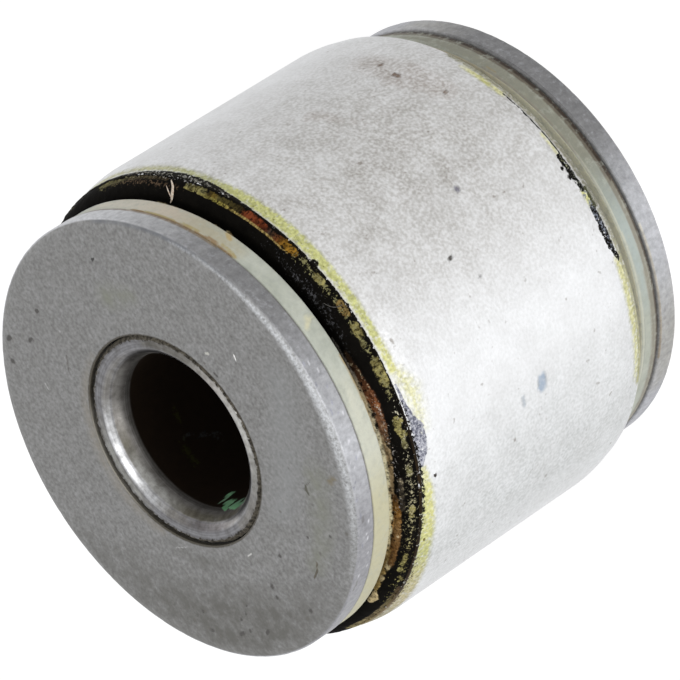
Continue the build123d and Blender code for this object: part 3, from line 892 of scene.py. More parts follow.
AMBER, BROWN_STAIN, CREAM_STAIN, ROSY, MILKY_AND_HIGHLIGHT = "#a3966c", "#8f7a5c", "#b9b599", "#c0b6a5", "#c0c1b3"
stains = [
    [(-59, 65.5, 0.3, 0.8, AMBER), (-57, 65.2, 0.5, 0.9, AMBER), (-54.5, 65.1, 0.45, 0.9, AMBER)],
    keys((-52.5, -50.5), 65.4, 0.35, 1.0, BROWN_STAIN),
    [(-47, 65.4, 0.35, 0.9, AMBER), (-44, 65.3, 0.5, 1.0, AMBER), (-41.5, 65.4, 0.35, 0.8, AMBER)],
    [(-39.5, 65.5, 0.3, 0.9, AMBER), (-36, 65.5, 0.35, 1.0, AMBER), (-30, 65.6, 0.25, 0.8, AMBER)],
    keys((-58, -26), 65.7, (0.25, 0.2), (1.0, 0.8), BROWN_STAIN),
    [(-54.0, 63.4, 0.4, 0.9, "#b39f72"), (-53.3, 63.3, 0.65, 1.0, "#b39f72"),
     (-52.4, 62.8, 0.5, 0.9, "#b0a078")],
    [(-54.0, 64.5, 0.2, 0.8, BROWN_STAIN)],
    [(-82.5, 64.8, 0.5, 0.8, "#c2bfa4"), (-81.5, 63.7, 0.8, 0.9, "#c2bfa4")],
    [(-58, 64.2, 1.4, 0.5, "#aba690"), (-46, 64.3, 1.8, 0.9, "#aca793"), (-36, 64.2, 1.9, 0.9, ROSY),
     (-24, 64.0, 1.9, 0.9, "#c7c2b4"), (-10, 64.0, 1.5, 0.6, "#c7c2b4")],
    keys((-175, -150, -128, -115, -98), (64.0, 64.0, 64.2, 64.3, 64.3), (2.4, 2.4, 2.3, 2.2, 1.6),
         (0.8, 1.1, 1.1, 1.0, 0.5), (CREAM_STAIN, CREAM_STAIN, CREAM_STAIN, MILKY_AND_HIGHLIGHT, MILKY_AND_HIGHLIGHT)),
    keys((-125.5, -121), 65.0, 0.6, 0.8, "#b5ad84"),
    keys((-133, -127), (63.2, 63.0), (0.5, 0.6), 0.8, "#b8ab80"),
    keys((-156, -146), (64.2, 63.6), 0.6, (0.7, 0.8), "#b9b088"),
    keys((-112, -92), 62.5, 0.3, 0.9, "#9d8a62"),
    [(22, 64.8, 0.4, 0.4, AMBER), (36, 64.6, 0.8, 0.9, AMBER), (60, 65.0, 0.4, 0.5, AMBER)],
    keys((85, 130), 64.2, 2.0, (0.7, 0.8), CREAM_STAIN),
]
angle, radius, height, along = measure(front_disc)
lay_marks(front_disc, "stains", angle, radius, height, stains)
GROOVE_DIRT_AND_SHADE, PALE_GROOVE_DIRT_AND_SHADE, GRIME, SHADED_GRIME = "#2c2016", "#4e453c", "#8e8a7e", "#625b4f"
LIT_EDGE, STAINED_LIT_EDGE, SILVERY_HIGHLIGHT, SHADED = "#e8e5cc", "#d2cab0", "#a8b1ad", "#868679"
stains = [
    # Dirt in the groove next to the washer, darkened further as painted shade.
    keys((-180, -128, -94, -86, 180), (4.0, 4.0, 4.05, 4.1, 4.0), (0.6, 0.5, 0.55, 0.6, 0.6), 1.1,
         (GROOVE_DIRT_AND_SHADE, PALE_GROOVE_DIRT_AND_SHADE, PALE_GROOVE_DIRT_AND_SHADE, GROOVE_DIRT_AND_SHADE, GROOVE_DIRT_AND_SHADE)),
    # A grey-brown band low on the rim, painted darker as shade from -84 to -50 degrees.
    keys((-180, -100, -84, -50, 180), 4.8, 0.45, 1.1, (GRIME, GRIME, SHADED_GRIME, SHADED_GRIME, GRIME)),
    # The front edge is painted near white as light, where the sleeve shades it.
    keys((-180, -65, -48, 180), 7.4, 0.16, 1.1, (LIT_EDGE, LIT_EDGE, STAINED_LIT_EDGE, STAINED_LIT_EDGE)),
    # A painted highlight along the rounded edge from -150 to -98 degrees.
    keys((-150, -98, -78, -50), 7.05, 0.22, (0.9, 1.0, 0.9, 0.9), (MILKY_AND_HIGHLIGHT, MILKY_AND_HIGHLIGHT, GRIME, GRIME)),
    keys((-54, -50.5), 6.6, 0.5, 0.8, "#8f8366"),
    # A painted highlight on the rim near -112 degrees, and painted shade from -84 degrees on.
    keys((-125, -104, -84, -40, -20), 6.1, 1.1, (0.3, 1.05, 1.1, 1.1, 0.4),
         (SILVERY_HIGHLIGHT, SILVERY_HIGHLIGHT, SHADED, SHADED, SHADED)),
    keys((38, 52, 72), 7.0, (0.3, 0.6, 0.3), (0.4, 0.9, 0.4), AMBER),
]
angle, radius, height, along = measure(rear_disc)
lay_marks(rear_disc, "stains", angle, radius, height, stains)

# %% Nylon finish
nylon, add, here = start_material("aged_moulded_nylon")
_, mottle = noisy(add, here, 3, 5.0, 0.6, 0.3, 0.7)
aged = add("Mix", {**BLEND, MIX_A: linear("#a2a69b"), MIX_B: linear("#b6b9ae")}, {0: mottle}, MIX_OUT)
stained, _ = cover_with_marks(add, aged, "stains", here, 1.4, 1.3, soft=0.45)
scuff, dirty = noisy(add, here, 0.9, 5.0, 0.65, 0.55, 0.75, to_high=0.3)
stained = add("Mix", {**BLEND, MIX_B: linear("#8d8a72")}, {0: dirty, MIX_A: stained}, MIX_OUT)
shading = {"From Min": 0.35, "From Max": 0.65, "To Min": 0.93, "To Max": 1.07}
uneven = add("MapRange", shading, {"Value": scuff})
stained = add("VectorMath", {"operation": "SCALE"}, {0: stained, "Scale": uneven})
relief = add("Bump", {"Strength": 0.45, "Distance": 0.04 * MM}, {"Height": scuff})
rough = add("MapRange", {"To Min": 0.45, "To Max": 0.65}, {"Value": scuff})
translucent = {
    "IOR": 1.53,
    "Specular IOR Level": 0.25,
    "Subsurface Weight": 0.08,
    "Subsurface Radius": (1.0, 0.9, 0.6),
    "Subsurface Scale": 1.0 * MM,
}
shaded = add("BsdfPrincipled", translucent, {"Base Color": stained, "Roughness": rough, "Normal": relief})
add("OutputMaterial", links={"Surface": shaded})
finish_piece(front_disc, nylon, "nylon", "front_wear_disc")
finish_piece(rear_disc, nylon, "nylon", "rear_wear_disc")

# %% [markdown]
# ## Thrust washers
# Rings blanked from steel plate. The punch draws one edge down, which leaves the rolled rim. Their
# grey comes from a phosphate bath, a matt crystal coat that rubs bright on the roll, where a glint
# is painted on as well. Rows across the front face are fine enough for its small pits.

# %% Turn the washers
SHEARED_EDGE = 0.15
WASHER_STEPS = 720
FACE_ROWS, RIM_ROWS, PLAIN_ROWS = 0.32, 0.26, 3.0


def washer_corners(rolled, sheared):
    """A washer's section: the rolled face turns down at the rim, and the other edges are just broken."""
    into = math.copysign(1.0, sheared - rolled)
    roll_end = rolled + into * DIE_ROLL_DROP
    roll_corner = washer_radius - DIE_ROLL_WIDTH + DIE_ROLL_RADIUS * DIE_ROLL_DROP / DIE_ROLL_WIDTH
    return [
        (WASHER_HOLE, rolled + into * SHEARED_EDGE),
        (WASHER_HOLE + SHEARED_EDGE, rolled),
        (roll_corner, rolled, "round", DIE_ROLL_RADIUS),
        (washer_radius, roll_end),
        (washer_radius, sheared - into * SHEARED_EDGE),
        (washer_radius - SHEARED_EDGE, sheared),
        (WASHER_HOLE + SHEARED_EDGE, sheared),
        (WASHER_HOLE, sheared - into * SHEARED_EDGE),
    ]


def washer_rows(radius, height):
    """Fine rows on the front face and both rims, and coarse ones on the faces that lie against discs."""
    if radius > washer_radius - 2.5:
        return RIM_ROWS
    return FACE_ROWS if height > washer_face - 0.1 else PLAIN_ROWS


front_corners = washer_corners(washer_face, washer_back)
front_washer = turn_ring("front_thrust_washer_blanked", front_corners, washer_rows, WASHER_STEPS)
rear_low, rear_high = span("rear_thrust_washer")[1:]
rear_corners = washer_corners(rear_high, rear_low)
rear_washer = turn_ring("rear_thrust_washer_blanked", rear_corners, washer_rows, WASHER_STEPS)

# %% Mark the washers
PIT, SHADE, HAIR, CHALKY, RUBBED_AND_GLINT = "#4f4d4b", "#686662", "#57564c", "#a9a9a8", "#bfc1c4"
face_marks = [
    keys((-13.3, -12.5), (28.85, 28.75), 0.22, 1.1, "#3a3938"),
    keys((24.3, 25.0), (28.6, 28.7), (0.35, 0.3), 0.9, PIT),
    keys((36.0, 37.2), (28.5, 28.8), (0.35, 0.3), 0.9, PIT),
    [(40.6, 32.7, 0.5, 0.9, PIT), (41.3, 33.0, 0.4, 0.8, PIT)],
    [(-144.0, 26.0, 0.3, 0.8, PIT)],
    [(-141.0, 20.5, 0.3, 0.7, SHADE)],
    [(-138.3, 30.0, 0.3, 0.8, PIT)],
    [(-146.5, 28.6, 0.35, 0.8, SHADE)],
    [(-171.0, 31.6, 0.45, 0.8, SHADE)],
    [(-134.5, 33.0, 0.4, 0.7, SHADE)],
    keys((-73.5, -72.0), 17.8, 0.3, 0.9, PIT),
    [(-65.3, 17.8, 0.25, 0.8, SHADE)],
    [(-127.5, 26.2, 0.16, 0.9, HAIR), (-125.5, 25.7, 0.3, 1.0, HAIR), (-124.0, 25.8, 0.2, 0.9, HAIR),
     (-122.4, 26.6, 0.16, 0.9, HAIR)],
    [(-156.5, 28.9, 0.16, 0.8, "#605a4e"), (-153.5, 28.9, 0.16, 0.9, "#605a4e"),
     (-150.5, 28.4, 0.2, 0.9, "#605a4e")],
    keys((-120.0, -119.6), (31.0, 31.6), 0.9, 0.6, "#77705f"),
    keys((146.5, 148), (31.0, 31.3), 0.35, 0.9, (SHADE, PIT)),
    [(141.5, 30.6, 0.35, 0.8, SHADE)],
    [(150.5, 31.8, 0.3, 0.9, SHADE)],
    keys((159, 160.5), (30.9, 30.7), (0.3, 0.35), 0.9, PIT),
    keys((170, 171), (30.9, 30.6), (0.35, 0.3), 0.9, PIT),
    [(172.5, 29.5, 0.3, 0.8, SHADE)],
    [(145.5, 28.4, 0.3, 0.9, PIT), (146.5, 28.2, 0.25, 0.8, SHADE)],
    [(-180, 16.75, 0.22, 0.75, "#4c483f"), (45, 16.75, 0.22, 0.75, "#4c483f"),
     (60, 16.75, 0.16, 0.7, "#77736a"), (100, 16.75, 0.16, 0.7, "#77736a"),
     (120, 16.75, 0.22, 0.75, "#4c483f"), (180, 16.75, 0.22, 0.75, "#4c483f")],
    keys((-178, -175.5), 19.4, 0.16, 1.1, "#c9c9c6"),
    keys((-65.0, -64.2), (19.9, 19.6), (0.3, 0.25), 1.0, "#b9b8b2"),
    [(24.0, 23.9, 0.25, 0.9, CHALKY)],
    keys((50.0, 51.8), (25.8, 25.2), 0.2, 0.8, CHALKY),
    keys((32, 39), (21.6, 20.8), 0.2, 0.7, SHADE),
    keys((135, 142), (19.0, 17.9), 0.14, 0.7, CHALKY),
]
for turn, place, half in (
    (47.6, 32.2, 0.5), (-176.0, 24.9, 0.45), (-161.5, 22.7, 0.35), (-167.8, 31.1, 0.4), (-177.2, 26.6, 0.35),
    (163.5, 30.3, 0.3), (161.5, 28.5, 0.3), (164.6, 27.5, 0.25), (166.5, 26.3, 0.25),
):
    face_marks.append([(turn, place, half, 0.9, PIT)])
OLIVE_TINT, RUST_TINT, LOW_SHADE, COOL_TINT = "#7d7f72", "#8b8478", "#605f5b", "#8e9091"
face_tints = [
    [(100, 32.0, 2.6, 0.4, LOW_SHADE), (115, 30.0, 5.0, 0.5, LOW_SHADE), (135, 29.5, 6.0, 0.7, LOW_SHADE),
     (165, 29.5, 6.0, 1.1, LOW_SHADE), (182, 30.0, 5.0, 0.7, LOW_SHADE), (200, 31.0, 4.0, 0.3, LOW_SHADE)],
    [(136, 19.0, 1.6, 0.3, LOW_SHADE), (152, 19.5, 2.0, 0.5, LOW_SHADE), (168, 19.0, 1.6, 0.3, LOW_SHADE)],
    keys((-24, -12), 23.0, (1.5, 2.0), (0.5, 0.6), OLIVE_TINT),
    [(-152, 28.6, 1.8, 0.5, OLIVE_TINT), (-120, 28.0, 2.6, 0.45, OLIVE_TINT)],
    [(-140, 20.5, 2.5, 0.5, COOL_TINT), (-105, 24.0, 4.0, 0.4, COOL_TINT),
     (-90, 29.0, 3.0, 0.4, COOL_TINT)],
    [(20, 17.4, 0.7, 0.3, RUST_TINT), (75, 17.5, 1.2, 0.5, RUST_TINT), (125, 17.5, 1.0, 0.4, RUST_TINT)],
    keys((-68, -50, -18), 34.4, (0.3, 0.35, 0.3), (0.3, 0.8, 0.7), "#66696f"),
]
# The roll is rubbed bright, and a glint is painted on it too, brightest from -112 to -72 degrees.
glints = [
    [(-146, 34.2, 0.5, 0.18, RUBBED_AND_GLINT), (-130, 34.1, 0.8, 0.33, RUBBED_AND_GLINT), (-112, 34.0, 0.95, 0.47, RUBBED_AND_GLINT),
     (-100, 34.05, 0.8, 0.54, RUBBED_AND_GLINT), (-88, 34.1, 0.6, 0.49, RUBBED_AND_GLINT), (-72, 34.1, 0.45, 0.48, RUBBED_AND_GLINT),
     (-60, 34.15, 0.3, 0.32, RUBBED_AND_GLINT), (-44, 34.2, 0.3, 0.2, RUBBED_AND_GLINT)],
]
angle, radius, height, along = measure(front_washer)
on_face = height > washer_face - DIE_ROLL_DROP - 0.05
lay_marks(front_washer, "spots", angle, radius, radius, face_marks, where=on_face)
lay_marks(front_washer, "tint", angle, radius, radius, face_tints, where=on_face)
lay_marks(front_washer, "glint", angle, radius, radius, glints, where=on_face)
# Tones of the cut rim, from dim to brightly lit, for the painted light and shade round it.
DIM_LIT_CUT, LIT_CUT, SHADED_CUT, BRIGHT_LIT_CUT = "#949498", "#b3b4b8", "#787879", "#bdbec1"
rim_tints_and_shading = [
    [(-180, 66.0, 0.35, 0.9, SHADE), (-130, 66.0, 0.35, 0.9, SHADE), (-60, 66.0, 0.4, 1.0, SHADE),
     (-52, 66.1, 0.5, 1.0, "#7a6f5c"), (-40, 66.1, 0.6, 1.0, "#7a6c5a"), (-30, 66.2, 0.8, 0.9, "#86796a"),
     (-20, 66.2, 0.6, 0.8, "#86807a"), (20, 66.0, 0.4, 0.9, SHADE), (180, 66.0, 0.4, 0.9, SHADE)],
    keys((-131, -129.5), 68.2, 0.5, 0.9, "#7c7b7d"),
    keys((-152, -149), (68.6, 68.3), 0.5, 0.8, "#7a7976"),
    # This row paints light and shade round the rim: lighter near -112 degrees and from -18 on, and darker
    # from -75 to -55.
    keys((-172, -130, -112, -75, -55, -18, 20), 67.7, 3, (1.0, 1.1, 1.1, 1.1, 1.1, 1.1, 0.5),
         (DIM_LIT_CUT, DIM_LIT_CUT, LIT_CUT, SHADED_CUT, SHADED_CUT, BRIGHT_LIT_CUT, BRIGHT_LIT_CUT)),
]
luck = random.Random(31)
for turn in range(-150, -80, 2):
    fleck = luck.choice(("#c9c9ce", "#83848e", "#9b9ca8"))
    start, place, wide = turn + luck.uniform(-2, 2), luck.uniform(66.4, 69.1), luck.uniform(0.12, 0.3)
    rim_tints_and_shading.insert(0, keys((start, start + luck.uniform(0, 0.8)), place, wide, 1.1, fleck))
lay_marks(front_washer, "rim", angle, radius, height, rim_tints_and_shading, where=radius > washer_radius - 0.4)
WARM_DIM_LIT_CUT = "#a4a3a0"
rear_tints_and_shading = [
    # Rust along the rolled edge, lighter towards -105 degrees as a painted highlight.
    [(-142, 3.3, 0.4, 0.8, "#9b9080"), (-120, 3.3, 0.4, 0.9, "#b2aca1"), (-105, 3.3, 0.35, 0.9, "#c4c0b6")],
    # This row paints light and shade round the rim: lighter from -115 to -100 degrees, and darker from -80 to
    # -40.
    keys((-150, -135, -115, -100, -80, -40, -20), 1.7, 3, (0.6, 1.1, 1.1, 1.1, 1.1, 1.1, 0.5),
         (WARM_DIM_LIT_CUT, WARM_DIM_LIT_CUT, LIT_CUT, LIT_CUT, SHADED_CUT, SHADED_CUT, WARM_DIM_LIT_CUT)),
    [(15, 3.4, 0.15, 0.4, "#a0968c"), (45, 3.3, 0.35, 0.8, "#a78c76"), (90, 3.3, 0.3, 0.8, "#a0907f"),
     (125, 3.4, 0.15, 0.4, "#a0968c")],
]
angle, radius, height, along = measure(rear_washer)
lay_marks(rear_washer, "rim", angle, radius, height, rear_tints_and_shading, where=radius > washer_radius - 0.6)
for name in ("spots", "tint", "glint"):  # a mark that a material reads is on every piece that wears it
    lay_marks(rear_washer, name, angle, radius, height, [])

for piece, seed in ((front_washer, 4), (rear_washer, 8)):
    angle, radius, height, along = measure(piece)
    at_rim = radius > washer_radius - 1.0
    nicks = lumps(piece, 1.6, at_rim, seed)
    raise_surface(piece, -0.08 * np.clip(np.abs(nicks) - 0.25, 0, 1) * at_rim)

# %% [markdown]
# Phosphate is a matt grey crust of crystals, clouded over a millimetre or two. It is a salt on steel,
# so it is half metallic. The sheared rim was cut after the plate was rolled, so its coat is thinner
# and lighter, and the shearing left lines straight across it. Broad light and dark bands are painted
# round both rims as light and shade, and a glint is painted on the front washer's roll.

# %% Phosphated finish
CRYSTAL = 0.6  # noise cell in mm, coarser than real crystals, which wouldn't show
phosphate, add, here = start_material("phosphated_blanked_steel")
crystal, crystals = noisy(add, here, CRYSTAL, 3.0, 0.6, 0.25, 0.75)
grey = add("Mix", {**BLEND, MIX_A: linear("#6d6d6c"), MIX_B: linear("#999999")}, {0: crystals}, MIX_OUT)
cloud, clouds = noisy(add, here, 1.8, 5.0, 0.65, 0.35, 0.7, to_high=0.45)
grey = add("Mix", {**MULTIPLY, MIX_B: linear("#c9c7c2")}, {0: clouds, MIX_A: grey}, MIX_OUT)
tint, tint_density = read_marks(add, "tint")
tint_on = add("MapRange", {"From Min": 0.3, "From Max": 0.6, "To Min": 0.25, "To Max": 0.9}, {"Value": cloud})
tint_on = add("Math", {"operation": "MULTIPLY"}, {0: tint_on, 1: tint_density})
grey = add("Mix", BLEND, {0: tint_on, MIX_A: grey, MIX_B: tint}, MIX_OUT)
_, pits = noisy(add, here, 1.1, 2.0, 0.5, 0.70, 0.80, to_high=0.5)
grey = add("Mix", {**BLEND, MIX_B: linear("#555350")}, {0: pits, MIX_A: grey}, MIX_OUT)
spotted, _ = cover_with_marks(add, grey, "spots", here, 0.5, 0.9, soft=0.25)

from_axis = distance_from_axis(add, here)
rim_limits = {"From Min": (washer_radius - 0.3) * MM, "From Max": (washer_radius - 0.1) * MM}
on_rim = add("MapRange", rim_limits, {"Value": from_axis})
shear_place = combed(add, here, washer_radius, across=0.25)
shear = add("TexNoise", {"Scale": 1 / (0.8 * MM), "Detail": 4.0, "Roughness": 0.6}, {"Vector": shear_place})
blotch = add("TexNoise", {"Scale": 1 / (0.9 * MM), "Detail": 4.0, "Roughness": 0.7}, {"Vector": here})
blotches = add("Math", {"operation": "MULTIPLY_ADD", 1: 0.35}, {0: shear, 2: blotch})
shading = {"From Min": 0.42, "From Max": 0.93, "To Min": 0.72, "To Max": 1.26}
shears = add("MapRange", shading, {"Value": blotches})
cut = add("Mix", {**BLEND, MIX_A: linear("#a2a3a8"), MIX_B: linear("#b2b3b8")}, {0: crystals}, MIX_OUT)
cut, _ = cover_with_marks(add, cut, "rim", here, 0.8, 1.0, soft=0.45)
cut = add("VectorMath", {"operation": "SCALE"}, {0: cut, "Scale": shears})
coat = add("Mix", BLEND, {0: on_rim, MIX_A: spotted, MIX_B: cut}, MIX_OUT)

# The roll's rubbed metal with its painted glint.
rubbed_and_glinting, glint_on = cover_with_marks(add, coat, "glint", here, 0.45, 2.2, soft=0.4)
rough = add("MapRange", {"To Min": 0.55, "To Max": 0.42}, {"Value": glint_on})
metallic = add("MapRange", {"To Min": 0.5, "To Max": 0.75}, {"Value": glint_on})
relief = add("Bump", {"Strength": 0.4, "Distance": 0.03 * MM}, {"Height": crystal})
surface = {"Base Color": rubbed_and_glinting, "Metallic": metallic, "Roughness": rough, "Normal": relief}
shaded = add("BsdfPrincipled", {}, surface)
add("OutputMaterial", links={"Surface": shaded})
finish_piece(front_washer, phosphate, "washer_steel", "front_thrust_washer")
finish_piece(rear_washer, phosphate, "washer_steel", "rear_thrust_washer")

# %% [markdown]
# ## Inner sleeve
# A thick tube. Each mouth is rolled open over a round tool, which leaves fine rings on its face and
# a smooth lip. The bore is left as drawn: dark, with old oil. A dab of green paint, an inspection
# mark, ran into the front mouth, and dirt has packed the gap between the tube and the washer.

# %% Turn the tube
TUBE_STEPS = 544
tube_corners = [
    (BORE_RADIUS, tube_rear + MOUTH_DEPTH),
    (BORE_RADIUS, tube_front - MOUTH_DEPTH + MOUTH_TANGENT, "round", MOUTH_ROUND),
    (MOUTH_RADIUS, tube_front),
    (tube_radius, tube_front, "chamfer", TUBE_CHAMFER),
    (tube_radius, tube_rear, "chamfer", TUBE_CHAMFER),
    (MOUTH_RADIUS, tube_rear),
    (BORE_RADIUS, tube_rear + MOUTH_DEPTH - MOUTH_TANGENT, "round", MOUTH_ROUND),
]


def tube_rows(radius, height):
    """Fine rows in the mouths, and coarse ones along the tube."""
    if radius > tube_radius - 0.1:
        return 8.0
    return 0.28 if height > tube_front - 10 or height < tube_rear + 5 else 2.0


tube = turn_ring("inner_sleeve_rolled", tube_corners, tube_rows, TUBE_STEPS)
angle, radius, height, along = measure(tube)
inside = radius < tube_radius - 0.1
GREEN, PALE_GREEN = "#5b9266", "#76aa80"
paint_marks = [
    [(147, 60.9, 0.35, 1.1, PALE_GREEN), (152, 62.3, 0.5, 1.1, PALE_GREEN),
     (158, 63.6, 0.6, 1.1, PALE_GREEN), (165, 64.8, 0.7, 1.1, PALE_GREEN),
     (172, 65.6, 0.8, 1.1, PALE_GREEN), (180, 66.3, 0.8, 1.1, GREEN), (190, 66.9, 0.5, 1.0, "#48694f"),
     (200, 67.7, 0.35, 0.9, "#445c48")],
    [(149, 62.6, 0.35, 0.9, "#57705b"), (154, 64.2, 0.35, 1.0, "#6a8a6e"), (160, 65.4, 0.35, 1.0, GREEN),
     (168, 66.4, 0.35, 0.9, GREEN)],
    [(163, 62.7, 0.3, 0.9, "#5a7561"), (170, 64.0, 0.4, 1.0, "#6d9678"), (180, 65.2, 0.45, 1.0, GREEN)],
]
lay_marks(tube, "paint", angle, radius, height, paint_marks, where=inside)
DIRT_WIDTH, DIRT_DEPTH, DIRT_HEIGHT = 0.55, 0.65, 0.2
from_ends = np.minimum(tube_front - height, height - tube_rear)
dirty_edge = (radius > tube_radius - DIRT_WIDTH) & (from_ends < DIRT_DEPTH)
raise_surface(tube, DIRT_HEIGHT * np.clip(0.35 + lumps(tube, 0.9, dirty_edge, 15), 0, 1) * dirty_edge)
SCALE_GREY, SCALE_BROWN = "#343434", "#302f18"
grit_and_sheen_marks = [
    [(68, 57.5, 0.7, 0.7, SCALE_BROWN), (113, 60.6, 1.0, 0.9, SCALE_BROWN)],
    keys((94, 103), (57.8, 53.8), (0.8, 1.2), 0.9, SCALE_GREY),
]
lay_marks(tube, "grit", angle, radius, height, grit_and_sheen_marks, where=inside)
MOUTH_HIGHLIGHT, SOFT_HIGHLIGHT, ROLLED, DARK_ROLLED = "#c8c9cb", "#abacae", "#82807d", "#666364"
LIT_ROLLED, WARM_LIT_ROLLED, SHEEN = "#b4b4b1", "#aaa7a3", "#92928f"
STAINED, OILY, TARRY = "#6a6864", "#615e55", "#4a4845"
# Tones of the front mouth, with its painted highlight, painted light and painted sheen.
tone_and_highlight_marks = [
    # A painted highlight round the lip of the mouth, brightest from 60 to 115 degrees.
    keys((0, 42, 60, 70, 82, 115, 130, 148, 172, 190), 14.1, 0.48,
         (0.3, 1.0, 1.1, 1.1, 1.1, 1.1, 1.0, 1.0, 1.0, 0.4),
         (ROLLED, ROLLED, MOUTH_HIGHLIGHT, MOUTH_HIGHLIGHT, SOFT_HIGHLIGHT, SOFT_HIGHLIGHT, ROLLED, DARK_ROLLED, DARK_ROLLED, ROLLED)),
    # Painted light on the end face, a pale crescent from -108 to -75 degrees; stained past -48.
    keys((-170, -145, -108, -98, -75, -48, -34, -22), 15.4, 0.8, (0.6, 1.0, 1.1, 1.1, 1.1, 1.1, 1.0, 0.6),
         (ROLLED, ROLLED, LIT_ROLLED, LIT_ROLLED, WARM_LIT_ROLLED, STAINED, STAINED, STAINED)),
    # Inside the lip: painted light near 60 degrees, and painted sheen from 96 to 120 degrees.
    keys((-14, 4, 18, 45, 60, 77, 96, 120, 138, 190), 13.2, 0.35,
         (0.8, 1.0, 1.0, 1.0, 1.0, 1.0, 1.0, 1.0, 1.0, 0.6),
         (TARRY, TARRY, ROLLED, ROLLED, WARM_LIT_ROLLED, OILY, SHEEN, SHEEN, OILY, OILY)),
    # Painted sheen on the end face from 75 to 104 degrees.
    keys((55, 75, 104, 116), 15.3, 0.65, (0.5, 0.9, 0.8, 0.4), (ROLLED, SHEEN, SHEEN, ROLLED)),
]
in_front_mouth = inside & (height > tube_front - MOUTH_DEPTH - 0.5)
lay_marks(tube, "shade", angle, radius, radius, tone_and_highlight_marks, where=in_front_mouth)

# %% Rolled steel finish
# Distances from the axis in mm. Inside the raw ones the tool burnished nothing. Dirt is packed outside
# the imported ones, which noise moves inwards by up to PACKED_RAGGED. The dark ones are depths in mm
# below each end of the tube.
RAW_START, RAW_FULL = 13.6, 13.2
PACKED_START, PACKED_FULL, PACKED_RAGGED = 16.55, 16.72, 1.5
DARK_START, DARK_FULL = 3.1, 3.8
DRAWN_RADIUS = 15
rolled, add, here = start_material("rolled_tube_steel")
from_axis = distance_from_axis(add, here)
up = add("SeparateXYZ", {}, {0: here}, out=2)
lines = add("CombineXYZ", {}, {0: from_axis, 1: up})
ring, rings = noisy(add, lines, 0.5, 3.0, 0.7, 0.3, 0.7)
steel = add("Mix", {**BLEND, MIX_A: linear("#6c6c6f"), MIX_B: linear("#828285")}, {0: rings}, MIX_OUT)
raw = add("MapRange", {"From Min": RAW_START * MM, "From Max": RAW_FULL * MM}, {"Value": from_axis})
rusty = add("Mix", {**BLEND, MIX_A: linear("#63605c"), MIX_B: linear("#858381")}, {0: rings}, MIX_OUT)
steel = add("Mix", BLEND, {0: raw, MIX_A: steel, MIX_B: rusty}, MIX_OUT)
# The front mouth's tones, with its painted highlight and sheen.
steel, _ = cover_with_marks(add, steel, "shade", here, 1.2, 1.2, soft=0.45)
shading = {"From Min": 0.35, "From Max": 0.65, "To Min": 0.84, "To Max": 1.16}
ringed = add("MapRange", shading, {"Value": ring})
steel = add("VectorMath", {"operation": "SCALE"}, {0: steel, "Scale": ringed})
scale, scales = noisy(add, here, 1.3, 5.0, 0.65, 0.40, 0.66, to_high=0.5)
steel = add("Mix", {**MULTIPLY, MIX_B: linear("#8b867e")}, {0: scales, MIX_A: steel}, MIX_OUT)
steel = add("VectorMath", {"operation": "SCALE", "Scale": 1.04}, {0: steel})
_, drawns = noisy(add, combed(add, here, DRAWN_RADIUS), 0.6, 4.0, 0.6, 0.35, 0.7, to_high=0.16)
steel = add("Mix", {**MULTIPLY, MIX_B: linear("#b0aca6")}, {0: drawns, MIX_A: steel}, MIX_OUT)

# Below the mouth the steel was never cleaned, so the bore is dark from there down.
front_depth = {"From Min": (tube_front - DARK_START) * MM, "From Max": (tube_front - DARK_FULL) * MM}
rear_depth = {"From Min": (tube_rear + DARK_START) * MM, "From Max": (tube_rear + DARK_FULL) * MM}
bore_limits = {"From Min": (BORE_RADIUS + 0.5) * MM, "From Max": (BORE_RADIUS + 0.2) * MM}
bore = combine(
    add,
    "MULTIPLY",
    add("MapRange", bore_limits, {"Value": from_axis}),
    add("MapRange", front_depth, {"Value": up}),
    add("MapRange", rear_depth, {"Value": up}),
)
oil = add("Mix", {**BLEND, MIX_A: linear("#1a1511"), MIX_B: linear("#2a2119")}, {0: scale}, MIX_OUT)
dark = add("Mix", BLEND, {0: bore, MIX_A: steel, MIX_B: oil}, MIX_OUT)
clump, clumps = noisy(add, here, 0.7, 4.0, 0.75, 0.35, 0.62)
ragged = add("Math", {"operation": "MULTIPLY_ADD", 1: PACKED_RAGGED * MM}, {0: clump, 2: from_axis})
outer = add("MapRange", {"From Min": PACKED_START * MM, "From Max": PACKED_FULL * MM}, {"Value": ragged})
packed = add("Mix", {**BLEND, MIX_A: linear("#6b6558"), MIX_B: linear("#1c1812")}, {0: clumps}, MIX_OUT)
dark = add("Mix", BLEND, {0: outer, MIX_A: dark, MIX_B: packed}, MIX_OUT)
with_grit_and_sheen, grit_on = sprinkle(add, dark, "grit", here, 0.6)
painted, paint_on = cover_with_marks(add, with_grit_and_sheen, "paint", here, 0.8, 1.0, soft=0.12)

buried = add("Math", {"operation": "MAXIMUM"}, {0: outer, 1: paint_on})
metallic = add("MapRange", {"To Min": 1.0, "To Max": 0.0}, {"Value": buried})
dull = combine(add, "MAXIMUM", buried, bore, grit_on)
worn_rough = add("MapRange", {"To Min": 0.28, "To Max": 0.55}, {"Value": raw})
rough = add("MapRange", {"To Max": 0.9}, {"Value": dull, "To Min": worn_rough})
relief = add("Bump", {"Strength": 0.4, "Distance": 0.02 * MM}, {"Height": ring})
surface = {"Base Color": painted, "Metallic": metallic, "Roughness": rough, "Normal": relief}
shaded = add("BsdfPrincipled", {}, surface)
add("OutputMaterial", links={"Surface": shaded})
finish_piece(tube, rolled, "tube_steel", "inner_sleeve")

# %% [markdown]
# ## Threads and lint
# A pale shaving of nylon with a split end hangs over the wrap, a fine thread lies beside the front
# disc, and a flake of lint lies on the front face. Each is a small ring of vertices bridged along a
# few places, flattened on the surface, and smoothed by a subdivision modifier.

